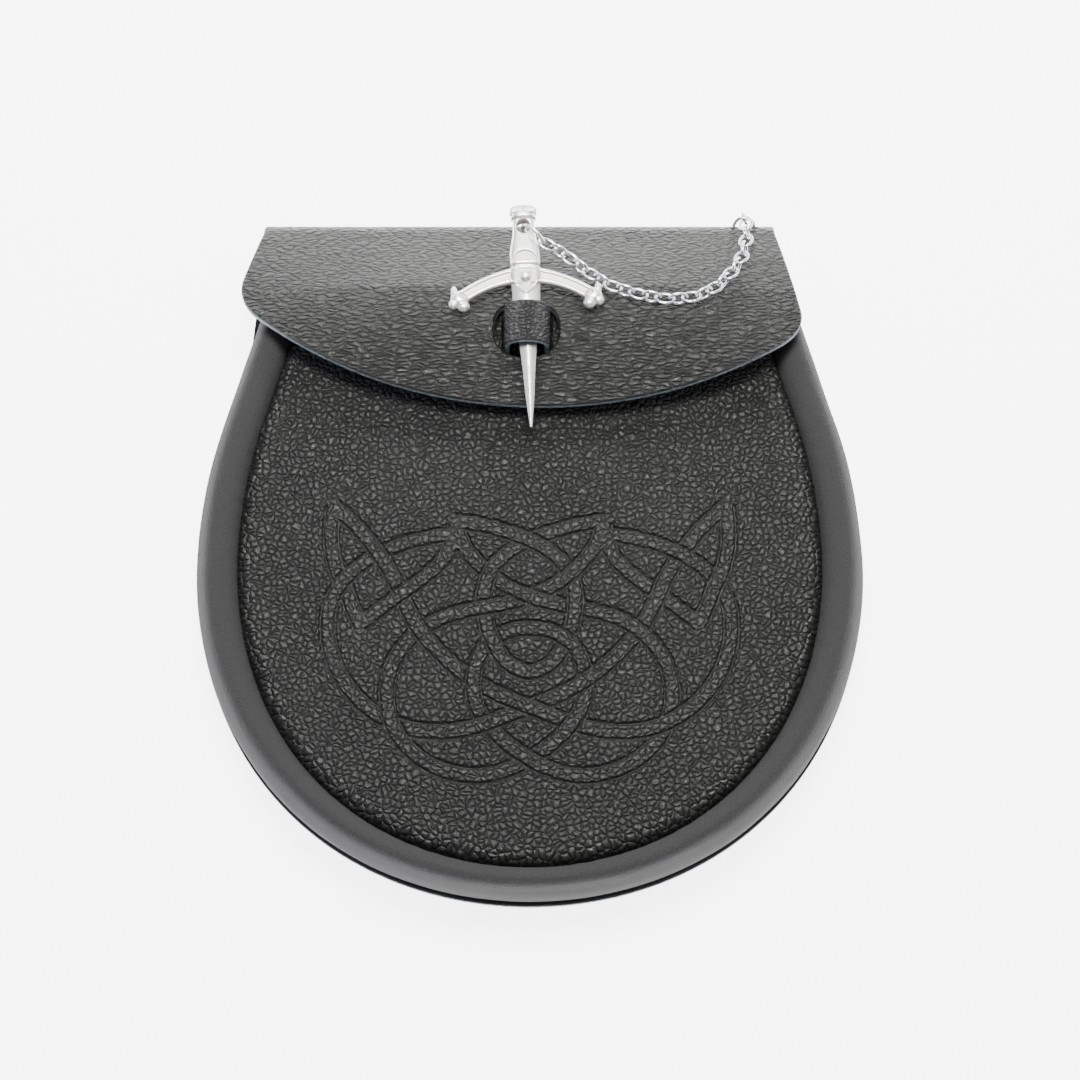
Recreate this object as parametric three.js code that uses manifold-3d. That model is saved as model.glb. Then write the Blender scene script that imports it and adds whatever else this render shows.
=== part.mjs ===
// A leather sporran pouch lying on its back, in millimetres.
// X runs across the pouch, Y from its round bottom up to the fold, and Z from its back to its front.
import * as THREE from 'three';
import { mergeVertices } from 'three/addons/utils/BufferGeometryUtils.js';
import Module from 'manifold-3d';

const wasm = await Module();
wasm.setup();

// ---------------------------------------------------------------- driving dimensions

const hide = 2.4; // thickness of the back, flap and front leather
const gussetHide = 1.6;
const keeperHide = 1.8;
const gap = 0.3; // between pieces that touch

// Outline of the pouch at its widest: a round bottom, two flat arcs, and straight flanks to the top.
const waist = { y: -8, half: 92.2 };
const bottom = { drop: 93, swell: 1.2 };
const flank = { radius: 150, turn: THREE.MathUtils.degToRad(16), top: 86 };

// The gusset rolls over this far inward from the outline before it dips into the crease.
const creaseInset = { side: 11.3, bottom: 6.4 };
const rollTop = 22.2;

// The flap leaves the back panel in a round fold, rises over the gusset and levels out on the front.
const fold = { y: 88.5, radius: 8, turn: THREE.MathUtils.degToRad(63) };
const flap = {
  levelAfter: 50.6, // how far from the fold it stops rising
  crown: 3.6, // how much higher it lies over the middle than over the sides
  crownHalf: 80,
  left: { x: -77, y: 91, splay: 0.24 },
  right: { x: 71, y: 89, splay: 0.19 },
  edge: { x: 3, y: 31.6, radius: 124 }, // the lower edge is one long arc
  corner: 9,
};
const slot = { x: -1, y: 54.9, halfX: 9.1, halfY: 8.8, fullness: 2.5 };

const panel = { mouth: 66, edgeTop: 18.6, lip: 2.6, dome: 5.5, domeReach: 70 };

// The keeper's strip is this long on each side of its middle, and its legs stand this far from it.
const keeper = {
  x: -0.8,
  y: 55.1,
  halfLength: 6.2,
  legX: 5.5,
  springs: 32.2,
  rise: 3.9,
  slope: -0.05,
};

// Two pairs of upright slots in the back take the hanging strap.
const strapSlot = { inner: 37, outer: 57, y: 70, width: 5, length: 26 };

const pin = {
  tip: new THREE.Vector3(0.4, 23.8, 35.3),
  lean: THREE.MathUtils.degToRad(2),
  tilt: THREE.MathUtils.degToRad(5),
};
const gripHole = { x: -0.2, y: 63.1, halfX: 2, halfY: 2 };
const gripRing = { half: 4, depth: 3.05, wire: 1.1, angle: THREE.MathUtils.degToRad(-45) };

const link = { length: 6, width: 4.5, wire: 0.95, pitch: 3.75 };
const foldRing = {
  x: 61.8,
  angle: THREE.MathUtils.degToRad(40),
  halfX: 3.1,
  halfOut: 3.5,
  lift: 0.7,
  wire: 1,
  holeRadius: 1.35,
};

// ---------------------------------------------------------------- materials

function finish(color, roughness, metalness) {
  return new THREE.MeshStandardMaterial({ color, roughness, metalness });
}
const pebbledHide = () => finish(0x2b2b2a, 0.45, 0);
const smoothHide = () => finish(0x2a2b2e, 0.4, 0);
const castSilver = () => finish(0xdcdad2, 0.35, 1);
const nickel = () => finish(0xd6d4dc, 0.15, 1);

const pouch = new THREE.Group();

function addPiece(name, geometry, material) {
  const piece = new THREE.Mesh(geometry, material);
  piece.name = name;
  pouch.add(piece);
  return piece;
}

const lerp = THREE.MathUtils.lerp;
const spread = (from, to, count) => (
  Array.from({ length: count }, (_, i) => lerp(from, to, i / (count - 1)))
);

// ---------------------------------------------------------------- closed solids from rows of points

function solidFrom(points, triangles) {
  let volume = 0;
  for (const [a, b, c] of triangles) {
    volume += points[a].dot(points[b].clone().cross(points[c]));
  }
  const geometry = new THREE.BufferGeometry();
  const positions = points.flatMap((point) => point.toArray());
  geometry.setAttribute('position', new THREE.Float32BufferAttribute(positions, 3));
  geometry.setIndex(triangles.flatMap(([a, b, c]) => (volume > 0 ? [a, b, c] : [a, c, b])));
  geometry.computeVertexNormals();
  return geometry;
}

// A sheet of even thickness whose middle surface passes through a grid of points.
function sheet(grid, thickness) {
  const last = { row: grid.length - 1, column: grid[0].length - 1 };
  const normalAt = (i, j) => {
    const alongRow = grid[i][Math.min(j + 1, last.column)].clone().sub(grid[i][Math.max(j - 1, 0)]);
    const acrossRows = grid[Math.min(i + 1, last.row)][j].clone().sub(grid[Math.max(i - 1, 0)][j]);
    return alongRow.cross(acrossRows).normalize();
  };
  const points = [];
  for (const side of [0.5, -0.5]) {
    grid.forEach((row, i) => row.forEach((point, j) => {
      points.push(point.clone().addScaledVector(normalAt(i, j), side * thickness));
    }));
  }
  const columns = last.column + 1;
  const face = columns * grid.length;
  const id = (i, j, side) => i * columns + j + side * face;
  const triangles = [];
  const quad = (a, b, c, d) => triangles.push([a, b, c], [a, c, d]);
  for (let i = 0; i < last.row; i += 1) {
    for (let j = 0; j < last.column; j += 1) {
      quad(id(i, j, 0), id(i, j + 1, 0), id(i + 1, j + 1, 0), id(i + 1, j, 0));
      quad(id(i, j, 1), id(i + 1, j, 1), id(i + 1, j + 1, 1), id(i, j + 1, 1));
    }
    quad(id(i, 0, 0), id(i + 1, 0, 0), id(i + 1, 0, 1), id(i, 0, 1));
    quad(id(i, last.column, 0), id(i, last.column, 1), id(i + 1, last.column, 1), id(i + 1, last.column, 0));
  }
  for (let j = 0; j < last.column; j += 1) {
    quad(id(0, j, 0), id(0, j, 1), id(0, j + 1, 1), id(0, j + 1, 0));
    quad(id(last.row, j, 0), id(last.row, j + 1, 0), id(last.row, j + 1, 1), id(last.row, j, 1));
  }
  return solidFrom(points, triangles);
}

// A solid through closed rings of points, capped at both ends.
function loft(rings) {
  const sides = rings[0].length;
  const points = rings.flat();
  const triangles = [];
  for (let i = 0; i < rings.length - 1; i += 1) {
    for (let j = 0; j < sides; j += 1) {
      const [a, b] = [i * sides + j, i * sides + ((j + 1) % sides)];
      triangles.push([a, b, b + sides], [a, b + sides, a + sides]);
    }
  }
  const end = (rings.length - 1) * sides;
  for (let j = 1; j < sides - 1; j += 1) {
    triangles.push([0, j + 1, j], [end, end + j, end + j + 1]);
  }
  return solidFrom(points, triangles);
}

// A closed oval of round wire, lying in the XY plane.
function wireLoop(halfX, halfY, wire, steps = 14, sides = 6) {
  const points = [];
  const triangles = [];
  for (let i = 0; i < steps; i += 1) {
    const turn = (2 * Math.PI * i) / steps;
    const centre = new THREE.Vector3(halfX * Math.cos(turn), halfY * Math.sin(turn), 0);
    const outward = new THREE.Vector3(halfY * Math.cos(turn), halfX * Math.sin(turn), 0).normalize();
    for (let j = 0; j < sides; j += 1) {
      const around = (2 * Math.PI * j) / sides;
      const point = centre.clone().addScaledVector(outward, (Math.cos(around) * wire) / 2);
      point.z += (Math.sin(around) * wire) / 2;
      points.push(point);
      const [a, b] = [i * sides + j, i * sides + ((j + 1) % sides)];
      const [c, d] = [a, b].map((corner) => (corner + sides) % (steps * sides));
      triangles.push([a, b, d], [a, d, c]);
    }
  }
  return solidFrom(points, triangles);
}

// ---------------------------------------------------------------- cutting and joining

function toSolid(geometry) {
  const bare = geometry.clone();
  bare.deleteAttribute('normal');
  bare.deleteAttribute('uv');
  const merged = mergeVertices(bare, 1e-4);
  return new wasm.Manifold(new wasm.Mesh({
    numProp: 3,
    vertProperties: new Float32Array(merged.attributes.position.array),
    triVerts: new Uint32Array(merged.index.array),
  }));
}

function toGeometry(solid) {
  const mesh = solid.getMesh();
  const geometry = new THREE.BufferGeometry();
  geometry.setAttribute('position', new THREE.BufferAttribute(new Float32Array(mesh.vertProperties), 3));
  geometry.setIndex(new THREE.BufferAttribute(new Uint32Array(mesh.triVerts), 1));
  geometry.computeVertexNormals();
  return geometry;
}

function cut(body, tools) {
  return toGeometry(tools.reduce((rest, tool) => rest.subtract(toSolid(tool)), toSolid(body)));
}

function join(bodies) {
  return toGeometry(bodies.map(toSolid).reduce((all, body) => all.add(body)));
}

// An oval hole; a fullness above 2 squares its shoulders.
function ovalPlug(x, y, halfX, halfY, low, high, fullness = 2) {
  const bulge = (share) => Math.sign(share) * Math.abs(share) ** (2 / fullness);
  const shape = new THREE.Shape(spread(0, 2 * Math.PI, 29).slice(1).map((turn) => new THREE.Vector2(
    halfX * bulge(Math.cos(turn)),
    halfY * bulge(Math.sin(turn)),
  )));
  const plug = new THREE.ExtrudeGeometry(shape, { depth: high - low, bevelEnabled: false });
  plug.translate(x, y, low);
  return plug;
}

// A straight-sided slot with round ends, upright in Y.
function slotPlug(x, y, width, length, low, high) {
  const radius = width / 2;
  const straight = length / 2 - radius;
  const shape = new THREE.Shape();
  shape.absarc(0, straight, radius, 0, Math.PI, false);
  shape.absarc(0, -straight, radius, Math.PI, 2 * Math.PI, false);
  const plug = new THREE.ExtrudeGeometry(shape, {
    depth: high - low,
    bevelEnabled: false,
    curveSegments: 6,
  });
  plug.translate(x, y, low);
  return plug;
}

// ---------------------------------------------------------------- outline of the pouch

function bottomRadius(angle) {
  const down = Math.sin(angle) ** 2;
  return waist.half + (bottom.drop - waist.half) * down + bottom.swell * Math.sin(2 * angle) ** 2;
}

const quarterLength = (bottom.drop * Math.PI) / 2;
const arcLength = flank.radius * flank.turn;
const arcEnd = {
  x: waist.half - flank.radius * (1 - Math.cos(flank.turn)),
  y: waist.y + flank.radius * Math.sin(flank.turn),
};
const rimLength = quarterLength + arcLength + (flank.top - arcEnd.y) / Math.cos(flank.turn);

// Right half of the outline, measured from the middle of the round bottom.
function rimPoint(travel) {
  if (travel < quarterLength) {
    const angle = (travel / quarterLength - 1) * (Math.PI / 2);
    const radius = bottomRadius(angle);
    return new THREE.Vector2(radius * Math.cos(angle), waist.y + radius * Math.sin(angle));
  }
  const turn = Math.min(travel - quarterLength, arcLength) / flank.radius;
  const straight = Math.max(travel - quarterLength - arcLength, 0);
  return new THREE.Vector2(
    waist.half - flank.radius * (1 - Math.cos(turn)) - straight * Math.sin(turn),
    waist.y + flank.radius * Math.sin(turn) + straight * Math.cos(turn),
  );
}

function rimOutward(travel) {
  const step = 0.5;
  const along = rimPoint(travel + step).sub(rimPoint(Math.max(travel - step, 0)));
  return travel < step ? new THREE.Vector2(0, -1) : new THREE.Vector2(along.y, -along.x).normalize();
}

function rimHalf(y) {
  if (y < waist.y) {
    let angle = Math.asin(Math.max((y - waist.y) / bottom.drop, -1));
    for (let i = 0; i < 20; i += 1) {
      angle = Math.asin(Math.max((y - waist.y) / bottomRadius(angle), -1));
    }
    return bottomRadius(angle) * Math.cos(angle);
  }
  const turn = Math.asin(Math.min((y - waist.y) / flank.radius, Math.sin(flank.turn)));
  const straight = Math.max(y - arcEnd.y, 0);
  return waist.half - flank.radius * (1 - Math.cos(turn)) - straight * Math.tan(flank.turn);
}

function creaseInsetAt(point) {
  const angle = Math.atan2(Math.min(point.y - waist.y, 0), Math.abs(point.x));
  return lerp(creaseInset.side, creaseInset.bottom, Math.sin(angle) ** 2);
}

// ---------------------------------------------------------------- back and flap

const foldMiddle = fold.radius - hide / 2;
const flapStart = {
  y: fold.y + foldMiddle * Math.cos(fold.turn),
  z: fold.radius + foldMiddle * Math.sin(fold.turn),
};
const flapSlope = 1 / Math.tan(fold.turn);

// Middle surface of the flap.
function flapMiddle(x, y) {
  const run = flapStart.y - y;
  const rising = Math.min(Math.max(run, 0), flap.levelAfter);
  const profile = flapStart.z + flapSlope * (rising - rising ** 2 / (2 * flap.levelAfter));
  const crown = flap.crown * (1 - (x / flap.crownHalf) ** 2) * Math.min(Math.max(run, 0) / 22, 1) ** 1.5;
  return profile + crown;
}
const flapTop = (x, y) => flapMiddle(x, y) + hide * 0.52;

// The lesser of two widths, with the corner between them rounded off.
function roundedLeast(a, b, corner) {
  const overlap = Math.max(corner - Math.abs(a - b), 0) / corner;
  return Math.min(a, b) - (overlap ** 2 * corner) / 4;
}

function flapSpan(y) {
  const belowCentre = flap.edge.y + flap.edge.radius - y;
  const arc = Math.sqrt(Math.max(flap.edge.radius ** 2 - belowCentre ** 2, 0));
  const left = flap.edge.x - flap.left.x + flap.left.splay * (flap.left.y - y);
  const right = flap.right.x + flap.right.splay * (flap.right.y - y) - flap.edge.x;
  return [
    flap.edge.x - roundedLeast(left, arc, flap.corner),
    flap.edge.x + roundedLeast(right, arc, flap.corner),
  ];
}

// The back shows a little beyond the gusset, and widens on the left to meet the flap.
const backReveal = 0.3;
function backSpan(y) {
  const widening = THREE.MathUtils.smoothstep(y, 45, fold.y);
  return [-1, 1].map((side, end) => {
    const extra = side * flapSpan(flapStart.y)[end] - rimHalf(fold.y) - backReveal;
    return side * (rimHalf(y) + backReveal + extra * widening);
  });
}

function backAndFlapGrid() {
  const columns = spread(0, 1, 17);
  const row = ([from, to], place) => columns.map((share) => place(lerp(from, to, share)));
  const rows = [];
  for (const angle of spread(-86, 0, 14)) {
    const turn = THREE.MathUtils.degToRad(angle);
    const y = waist.y + (bottomRadius(turn) + backReveal) * Math.sin(turn);
    rows.push(row(backSpan(y), (x) => new THREE.Vector3(x, y, hide / 2)));
  }
  for (const y of spread(8, fold.y, 7)) {
    rows.push(row(backSpan(y), (x) => new THREE.Vector3(x, y, hide / 2)));
  }
  for (const angle of spread(-Math.PI / 2, fold.turn, 9).slice(1)) {
    const share = (angle + Math.PI / 2) / (fold.turn + Math.PI / 2);
    const span = [0, 1].map((end) => lerp(backSpan(fold.y)[end], flapSpan(flapStart.y)[end], share));
    const y = fold.y + foldMiddle * Math.cos(angle);
    rows.push(row(span, (x) => new THREE.Vector3(x, y, fold.radius + foldMiddle * Math.sin(angle))));
  }
  for (const share of spread(0, 1, 15).slice(1)) {
    const y = lerp(flapStart.y, flap.edge.y + 0.3, Math.sin((share * Math.PI) / 2));
    rows.push(row(flapSpan(y), (x) => new THREE.Vector3(x, y, flapMiddle(x, y))));
  }
  return rows;
}

function foldHole(side) {
  const hole = new THREE.CylinderGeometry(foldRing.holeRadius, foldRing.holeRadius, 9, 12);
  hole.rotateX(foldRing.angle);
  hole.translate(
    foldRing.x + side * (foldRing.halfX - 0.1),
    fold.y + foldMiddle * Math.cos(foldRing.angle),
    fold.radius + foldMiddle * Math.sin(foldRing.angle),
  );
  return hole;
}

const strapSlots = [-strapSlot.outer, -strapSlot.inner, strapSlot.inner, strapSlot.outer];
addPiece('back_and_flap', cut(sheet(backAndFlapGrid(), hide), [
  ovalPlug(slot.x, slot.y, slot.halfX, slot.halfY, 20, 40, slot.fullness),
  ...strapSlots.map((x) => slotPlug(x, strapSlot.y, strapSlot.width, strapSlot.length, -2, 6)),
  foldHole(-1),
  foldHole(1),
]), pebbledHide());

// ---------------------------------------------------------------- gusset

// Middle line of the gusset's section: mm inward from the outline, plus a share of the crease inset.
const gussetFoot = hide + gap + gussetHide / 2;
const gussetSection = [
  { inward: 9, share: 0, up: 0 }, // flange on the back panel
  { inward: 4, share: 0, up: 0 },
  { inward: 1.3, share: 0, up: 2 },
  { inward: 0.8, share: 0, up: 7 },
  { inward: 0.8, share: 0.1, up: 12.5 },
  { inward: 0, share: 0.46, up: rollTop - gussetHide / 2 - gussetFoot },
  { inward: 0, share: 0.84, up: 16.9 },
  { inward: 0, share: 1, up: 13.9 },
  { inward: 0.2, share: 1, up: 11 }, // tucked down into the crease
];

// Near the fold the roll flattens to pass under the flap.
function rollShare(y) {
  const room = flapMiddle(76, y) - hide * 0.6 - 0.8 - gussetFoot;
  return Math.min(room / (rollTop - gussetFoot), 1);
}

function gussetRow(travel, side) {
  const rim = rimPoint(travel);
  const outward = rimOutward(travel);
  const inset = creaseInsetAt(rim);
  const share = rollShare(rim.y);
  const line = new THREE.CatmullRomCurve3(gussetSection.map((row) => {
    const inward = row.inward + row.share * inset;
    return new THREE.Vector3(
      side * (rim.x - outward.x * inward),
      rim.y - outward.y * inward,
      gussetFoot + row.up * share,
    );
  }), false, 'centripetal');
  return line.getSpacedPoints(17);
}

const gussetStations = spread(0, rimLength, 19);
addPiece('gusset', sheet([
  ...gussetStations.slice(1).reverse().map((travel) => gussetRow(travel, -1)),
  ...gussetStations.map((travel) => gussetRow(travel, 1)),
], gussetHide), smoothHide());

// ---------------------------------------------------------------- front panel

const panelInset = (rim) => creaseInsetAt(rim) + gussetHide / 2 + gap + 1;

function distanceToCrease(x, y) {
  if (y >= waist.y) {
    return rimHalf(y) - creaseInset.side - Math.abs(x);
  }
  const point = new THREE.Vector2(Math.abs(x), y - waist.y);
  const angle = Math.atan2(point.y, point.x);
  return bottomRadius(angle) - creaseInsetAt({ x: point.x, y }) - point.length();
}

function panelTop(x, y) {
  const inside = Math.max(distanceToCrease(x, y) - 1.5, 0);
  const lip = panel.lip * (1 - Math.exp(-inside / 1.6));
  const dome = panel.dome * Math.sin((Math.PI / 2) * Math.min(inside / panel.domeReach, 1)) ** 2;
  return panel.edgeTop + lip + dome;
}

function panelGrid() {
  const columns = spread(-1, 1, 21).map((share) => Math.sin((share * Math.PI) / 2));
  return spread(5, rimLength, 60).map((travel) => {
    const rim = rimPoint(travel);
    const outward = rimOutward(travel);
    return { x: rim.x - outward.x * panelInset(rim), y: rim.y - outward.y * panelInset(rim) };
  }).filter((edge, i) => edge.y < panel.mouth && (i < 8 || i % 3 === 0))
    .map((edge) => columns.map((share) => {
      const x = share * edge.x;
      return new THREE.Vector3(x, edge.y, panelTop(x, edge.y) - hide / 2);
    }));
}

const keeperSlits = [-1, 1].map((side) => {
  const slit = new THREE.BoxGeometry(keeperHide + 2 * gap, 2 * (keeper.halfLength + gap), 14);
  slit.translate(keeper.x + side * keeper.legX, keeper.y, 25);
  return slit;
});
addPiece('front_panel', cut(sheet(panelGrid(), hide), keeperSlits), pebbledHide());

// ---------------------------------------------------------------- keeper loop

// The strip comes up through two slits in the front panel and arches over the pin.
function keeperLine() {
  const footHeight = panelTop(0, keeper.y) - hide - gap - keeperHide / 2 - 0.9;
  const half = [
    [12, footHeight - 0.5],
    [8.5, footHeight],
    [keeper.legX + 0.5, footHeight + 0.5],
    [keeper.legX, footHeight + 1.6],
    [keeper.legX, footHeight + 5],
  ];
  const arch = spread(0, Math.PI, 13).map((turn) => [
    keeper.legX * Math.cos(turn),
    keeper.springs + keeper.rise * Math.sin(turn),
  ]);
  return [...half, ...arch, ...half.map(([x, z]) => [-x, z]).reverse()];
}

addPiece('keeper_loop', sheet([-1, 0, 1].map((share) => {
  const along = share * keeper.halfLength;
  return keeperLine().map(([x, z]) => (
    new THREE.Vector3(keeper.x + x, keeper.y + along, z + along * keeper.slope)
  ));
}), keeperHide), pebbledHide());

// ---------------------------------------------------------------- dagger pin

// Built flat with its tip at the origin and its pommel up +Y, then laid on the flap.
function ovalRing(y, halfX, halfZ, sides = 12, x = 0) {
  return spread(0, 2 * Math.PI, sides + 1).slice(0, sides).map((turn) => new THREE.Vector3(
    x + halfX * Math.cos(turn),
    y,
    halfZ * Math.sin(turn),
  ));
}

const bladeSections = [
  { y: 0, half: 0.35, ridge: 0.35 },
  { y: 8.2, half: 1.15, ridge: 0.75 },
  { y: 17.5, half: 1.8, ridge: 1 },
  { y: 25.6, half: 2.5, ridge: 1.2 },
  { y: 35, half: 3.6, ridge: 1.4 },
  { y: 40, half: 4, ridge: 1.5 },
  { y: 46, half: 4.1, ridge: 1.5 },
];
const blade = loft(bladeSections.map(({ y, half, ridge }) => [
  new THREE.Vector3(half, y, -0.3 * ridge),
  new THREE.Vector3(half, y, 0.3 * ridge),
  new THREE.Vector3(0, y, ridge),
  new THREE.Vector3(-half, y, 0.3 * ridge),
  new THREE.Vector3(-half, y, -0.3 * ridge),
  new THREE.Vector3(0, y, -ridge),
]));

const gripSections = [
  { y: 49, halfX: 4.2, halfZ: 1.9 },
  { y: 53, halfX: 4.3, halfZ: 2 },
  { y: 55.5, halfX: 4.1, halfZ: 1.9 },
  { y: 58.5, halfX: 3.6, halfZ: 1.6 },
  { y: 61, halfX: 3.3, halfZ: 1.5 },
  { y: 65.4, halfX: 3.2, halfZ: 1.6 },
  { y: 65.8, halfX: 3.4, halfZ: 2.1 },
  { y: 68.2, halfX: 3.6, halfZ: 2.3 },
  { y: 69.1, halfX: 3, halfZ: 1.8 },
];
const grip = loft(gripSections.map(({ y, halfX, halfZ }) => ovalRing(y, halfX, halfZ, 16)));

// One arm of the guard sweeps out and down to its end, and thins on the way.
function guardArm(side) {
  const line = new THREE.QuadraticBezierCurve3(
    new THREE.Vector3(0, 47, 0),
    new THREE.Vector3(side * 10, 47, 0),
    new THREE.Vector3(side * 18.2, 40.6, 0),
  );
  return loft(spread(0, 1, 9).map((share) => {
    const point = line.getPoint(share);
    const along = line.getTangent(share);
    const across = new THREE.Vector3(-along.y, along.x, 0);
    const half = lerp(2.9, 1.7, share);
    const thick = lerp(1.8, 1.2, share);
    return [[1, -0.6], [1, 0.6], [0.45, 1], [-0.45, 1], [-1, 0.6], [-1, -0.6]].map(([width, height]) => (
      point.clone().addScaledVector(across, width * half).setZ(height * thick)
    ));
  }));
}

function bead(x, y, z, halfX, halfY, halfZ) {
  const ball = new THREE.SphereGeometry(1, 10, 7);
  ball.scale(halfX, halfY, halfZ);
  ball.translate(x, y, z);
  return ball;
}

const finial = (side) => [
  bead(side * 18.8, 40.3, 0, 2.2, 2.4, 1.5),
  bead(side * 17.9, 37.7, 0, 1.5, 1.6, 1.3),
  bead(side * 19.9, 42.7, 0, 0.8, 1.7, 0.9),
];

const guardBlock = new THREE.BoxGeometry(8.2, 6.4, 3.3);
guardBlock.translate(0, 47.4, 0);

const gripCut = ovalPlug(gripHole.x, gripHole.y, gripHole.halfX, gripHole.halfY, -4, 4);
const bareHilt = cut(grip, [gripCut]);
const pinMatrix = new THREE.Matrix4().makeTranslation(pin.tip)
  .multiply(new THREE.Matrix4().makeRotationX(-pin.tilt))
  .multiply(new THREE.Matrix4().makeRotationZ(pin.lean));
const daggerPin = addPiece('dagger_pin', join([
  blade,
  guardBlock,
  bareHilt,
  guardArm(-1),
  guardArm(1),
  bead(0, 46.3, 1.5, 1.7, 1.7, 0.9),
  ...finial(-1),
  ...finial(1),
]), castSilver());
daggerPin.applyMatrix4(pinMatrix);

// ---------------------------------------------------------------- rings and chain

// The ring through the grip leans down to the right, and stands upright in the pierced hole.
const ringAlong = new THREE.Vector3(Math.cos(gripRing.angle), Math.sin(gripRing.angle), 0);
const ringCentre = new THREE.Vector3(gripHole.x, gripHole.y, 0).addScaledVector(ringAlong, gripRing.half);
const ringAcross = ringAlong.clone().cross(new THREE.Vector3(0, 0, 1));
const ringMatrix = new THREE.Matrix4()
  .makeBasis(ringAlong, new THREE.Vector3(0, 0, 1), ringAcross)
  .setPosition(ringCentre)
  .premultiply(pinMatrix);
addPiece('grip_ring', wireLoop(gripRing.half, gripRing.depth, gripRing.wire, 20), castSilver())
  .applyMatrix4(ringMatrix);

const foldOut = new THREE.Vector3(0, Math.cos(foldRing.angle), Math.sin(foldRing.angle));
const foldRingCentre = new THREE.Vector3(foldRing.x, fold.y, fold.radius)
  .addScaledVector(foldOut, foldMiddle + foldRing.lift);
const foldRingMatrix = new THREE.Matrix4()
  .makeBasis(new THREE.Vector3(1, 0, 0), foldOut, new THREE.Vector3(1, 0, 0).cross(foldOut))
  .setPosition(foldRingCentre);
addPiece('fold_ring', wireLoop(foldRing.halfX, foldRing.halfOut, foldRing.wire, 20), nickel())
  .applyMatrix4(foldRingMatrix);

// The chain's thread runs from inside one ring to inside the other, across the flap.
const clear = link.wire + gap + 0.25;
const threadStart = new THREE.Vector3(gripRing.half - clear, 0, 0).applyMatrix4(ringMatrix);
const overFold = foldOut.clone().cross(new THREE.Vector3(-1, 0, 0));
const threadEnd = new THREE.Vector3(0, foldRing.halfOut, 0).applyMatrix4(foldRingMatrix)
  .addScaledVector(overFold, -clear);
const chainRoute = [
  { x: 9.3, y: 78.6, lift: 6.3 },
  { x: 15, y: 74, lift: 3.6 },
  { x: 21.8, y: 68.7, lift: 2.5 },
  { x: 30, y: 65.5, lift: 2.4 },
  { x: 40, y: 64, lift: 2.4 },
  { x: 49, y: 66.2, lift: 2.5 },
  { x: 55.5, y: 72.2, lift: 2.8 },
  { x: 60, y: 80, lift: 3.1 },
  { x: 61.8, y: 88.4, lift: 3.4 },
];
const firstLinkHeading = new THREE.Vector3(0.87, -0.5, -0.1).multiplyScalar(link.length / 2);
const lastLinkHeading = overFold.clone().multiplyScalar(link.length / 2);
const thread = new THREE.CatmullRomCurve3([
  threadStart,
  threadStart.clone().add(firstLinkHeading),
  ...chainRoute.map(({ x, y, lift }) => new THREE.Vector3(x, y, flapTop(x, y) + lift)),
  threadEnd.clone().add(lastLinkHeading),
  threadEnd,
], false, 'centripetal');
thread.arcLengthDivisions = 400;

// Neighbouring links lean to opposite sides, one nearly flat and the next nearly on edge. The count
// is even, because the first link is flat on its ring and the last one is on edge.
const lean = { flat: THREE.MathUtils.degToRad(-22), edge: THREE.MathUtils.degToRad(66) };
const threadLength = thread.getLength();
const firstCentre = link.length / 2 - link.wire / 2;
const linkCount = 2 * Math.round(((threadLength - 2 * firstCentre) / link.pitch + 1) / 2);
const pitch = (threadLength - 2 * firstCentre) / (linkCount - 1);
for (let i = 0; i < linkCount; i += 1) {
  const share = (firstCentre + i * pitch) / threadLength;
  const along = thread.getTangentAt(share);
  const level = new THREE.Vector3(0, 0, 1).cross(along).normalize();
  const above = along.clone().cross(level);
  const turn = i % 2 === 0 ? lean.flat : lean.edge;
  const across = level.clone().multiplyScalar(Math.cos(turn)).addScaledVector(above, Math.sin(turn));
  const place = new THREE.Matrix4()
    .makeBasis(along, across, along.clone().cross(across))
    .setPosition(thread.getPointAt(share));
  const loop = wireLoop((link.length - link.wire) / 2, (link.width - link.wire) / 2, link.wire);
  addPiece(`link_${String(i + 1).padStart(2, '0')}`, loop, nickel()).applyMatrix4(place);
}

// ---------------------------------------------------------------- frame

// The origin sits under the middle of the whole sporran, on the surface that it lies on.
pouch.updateMatrixWorld(true);
const box = new THREE.Box3().setFromObject(pouch, true);
pouch.position.set(-(box.min.x + box.max.x) / 2, -(box.min.y + box.max.y) / 2, -box.min.z);

export default pouch;
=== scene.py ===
import math

import bpy
import numpy as np
from mathutils import Matrix, Vector, geometry, kdtree, noise


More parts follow.
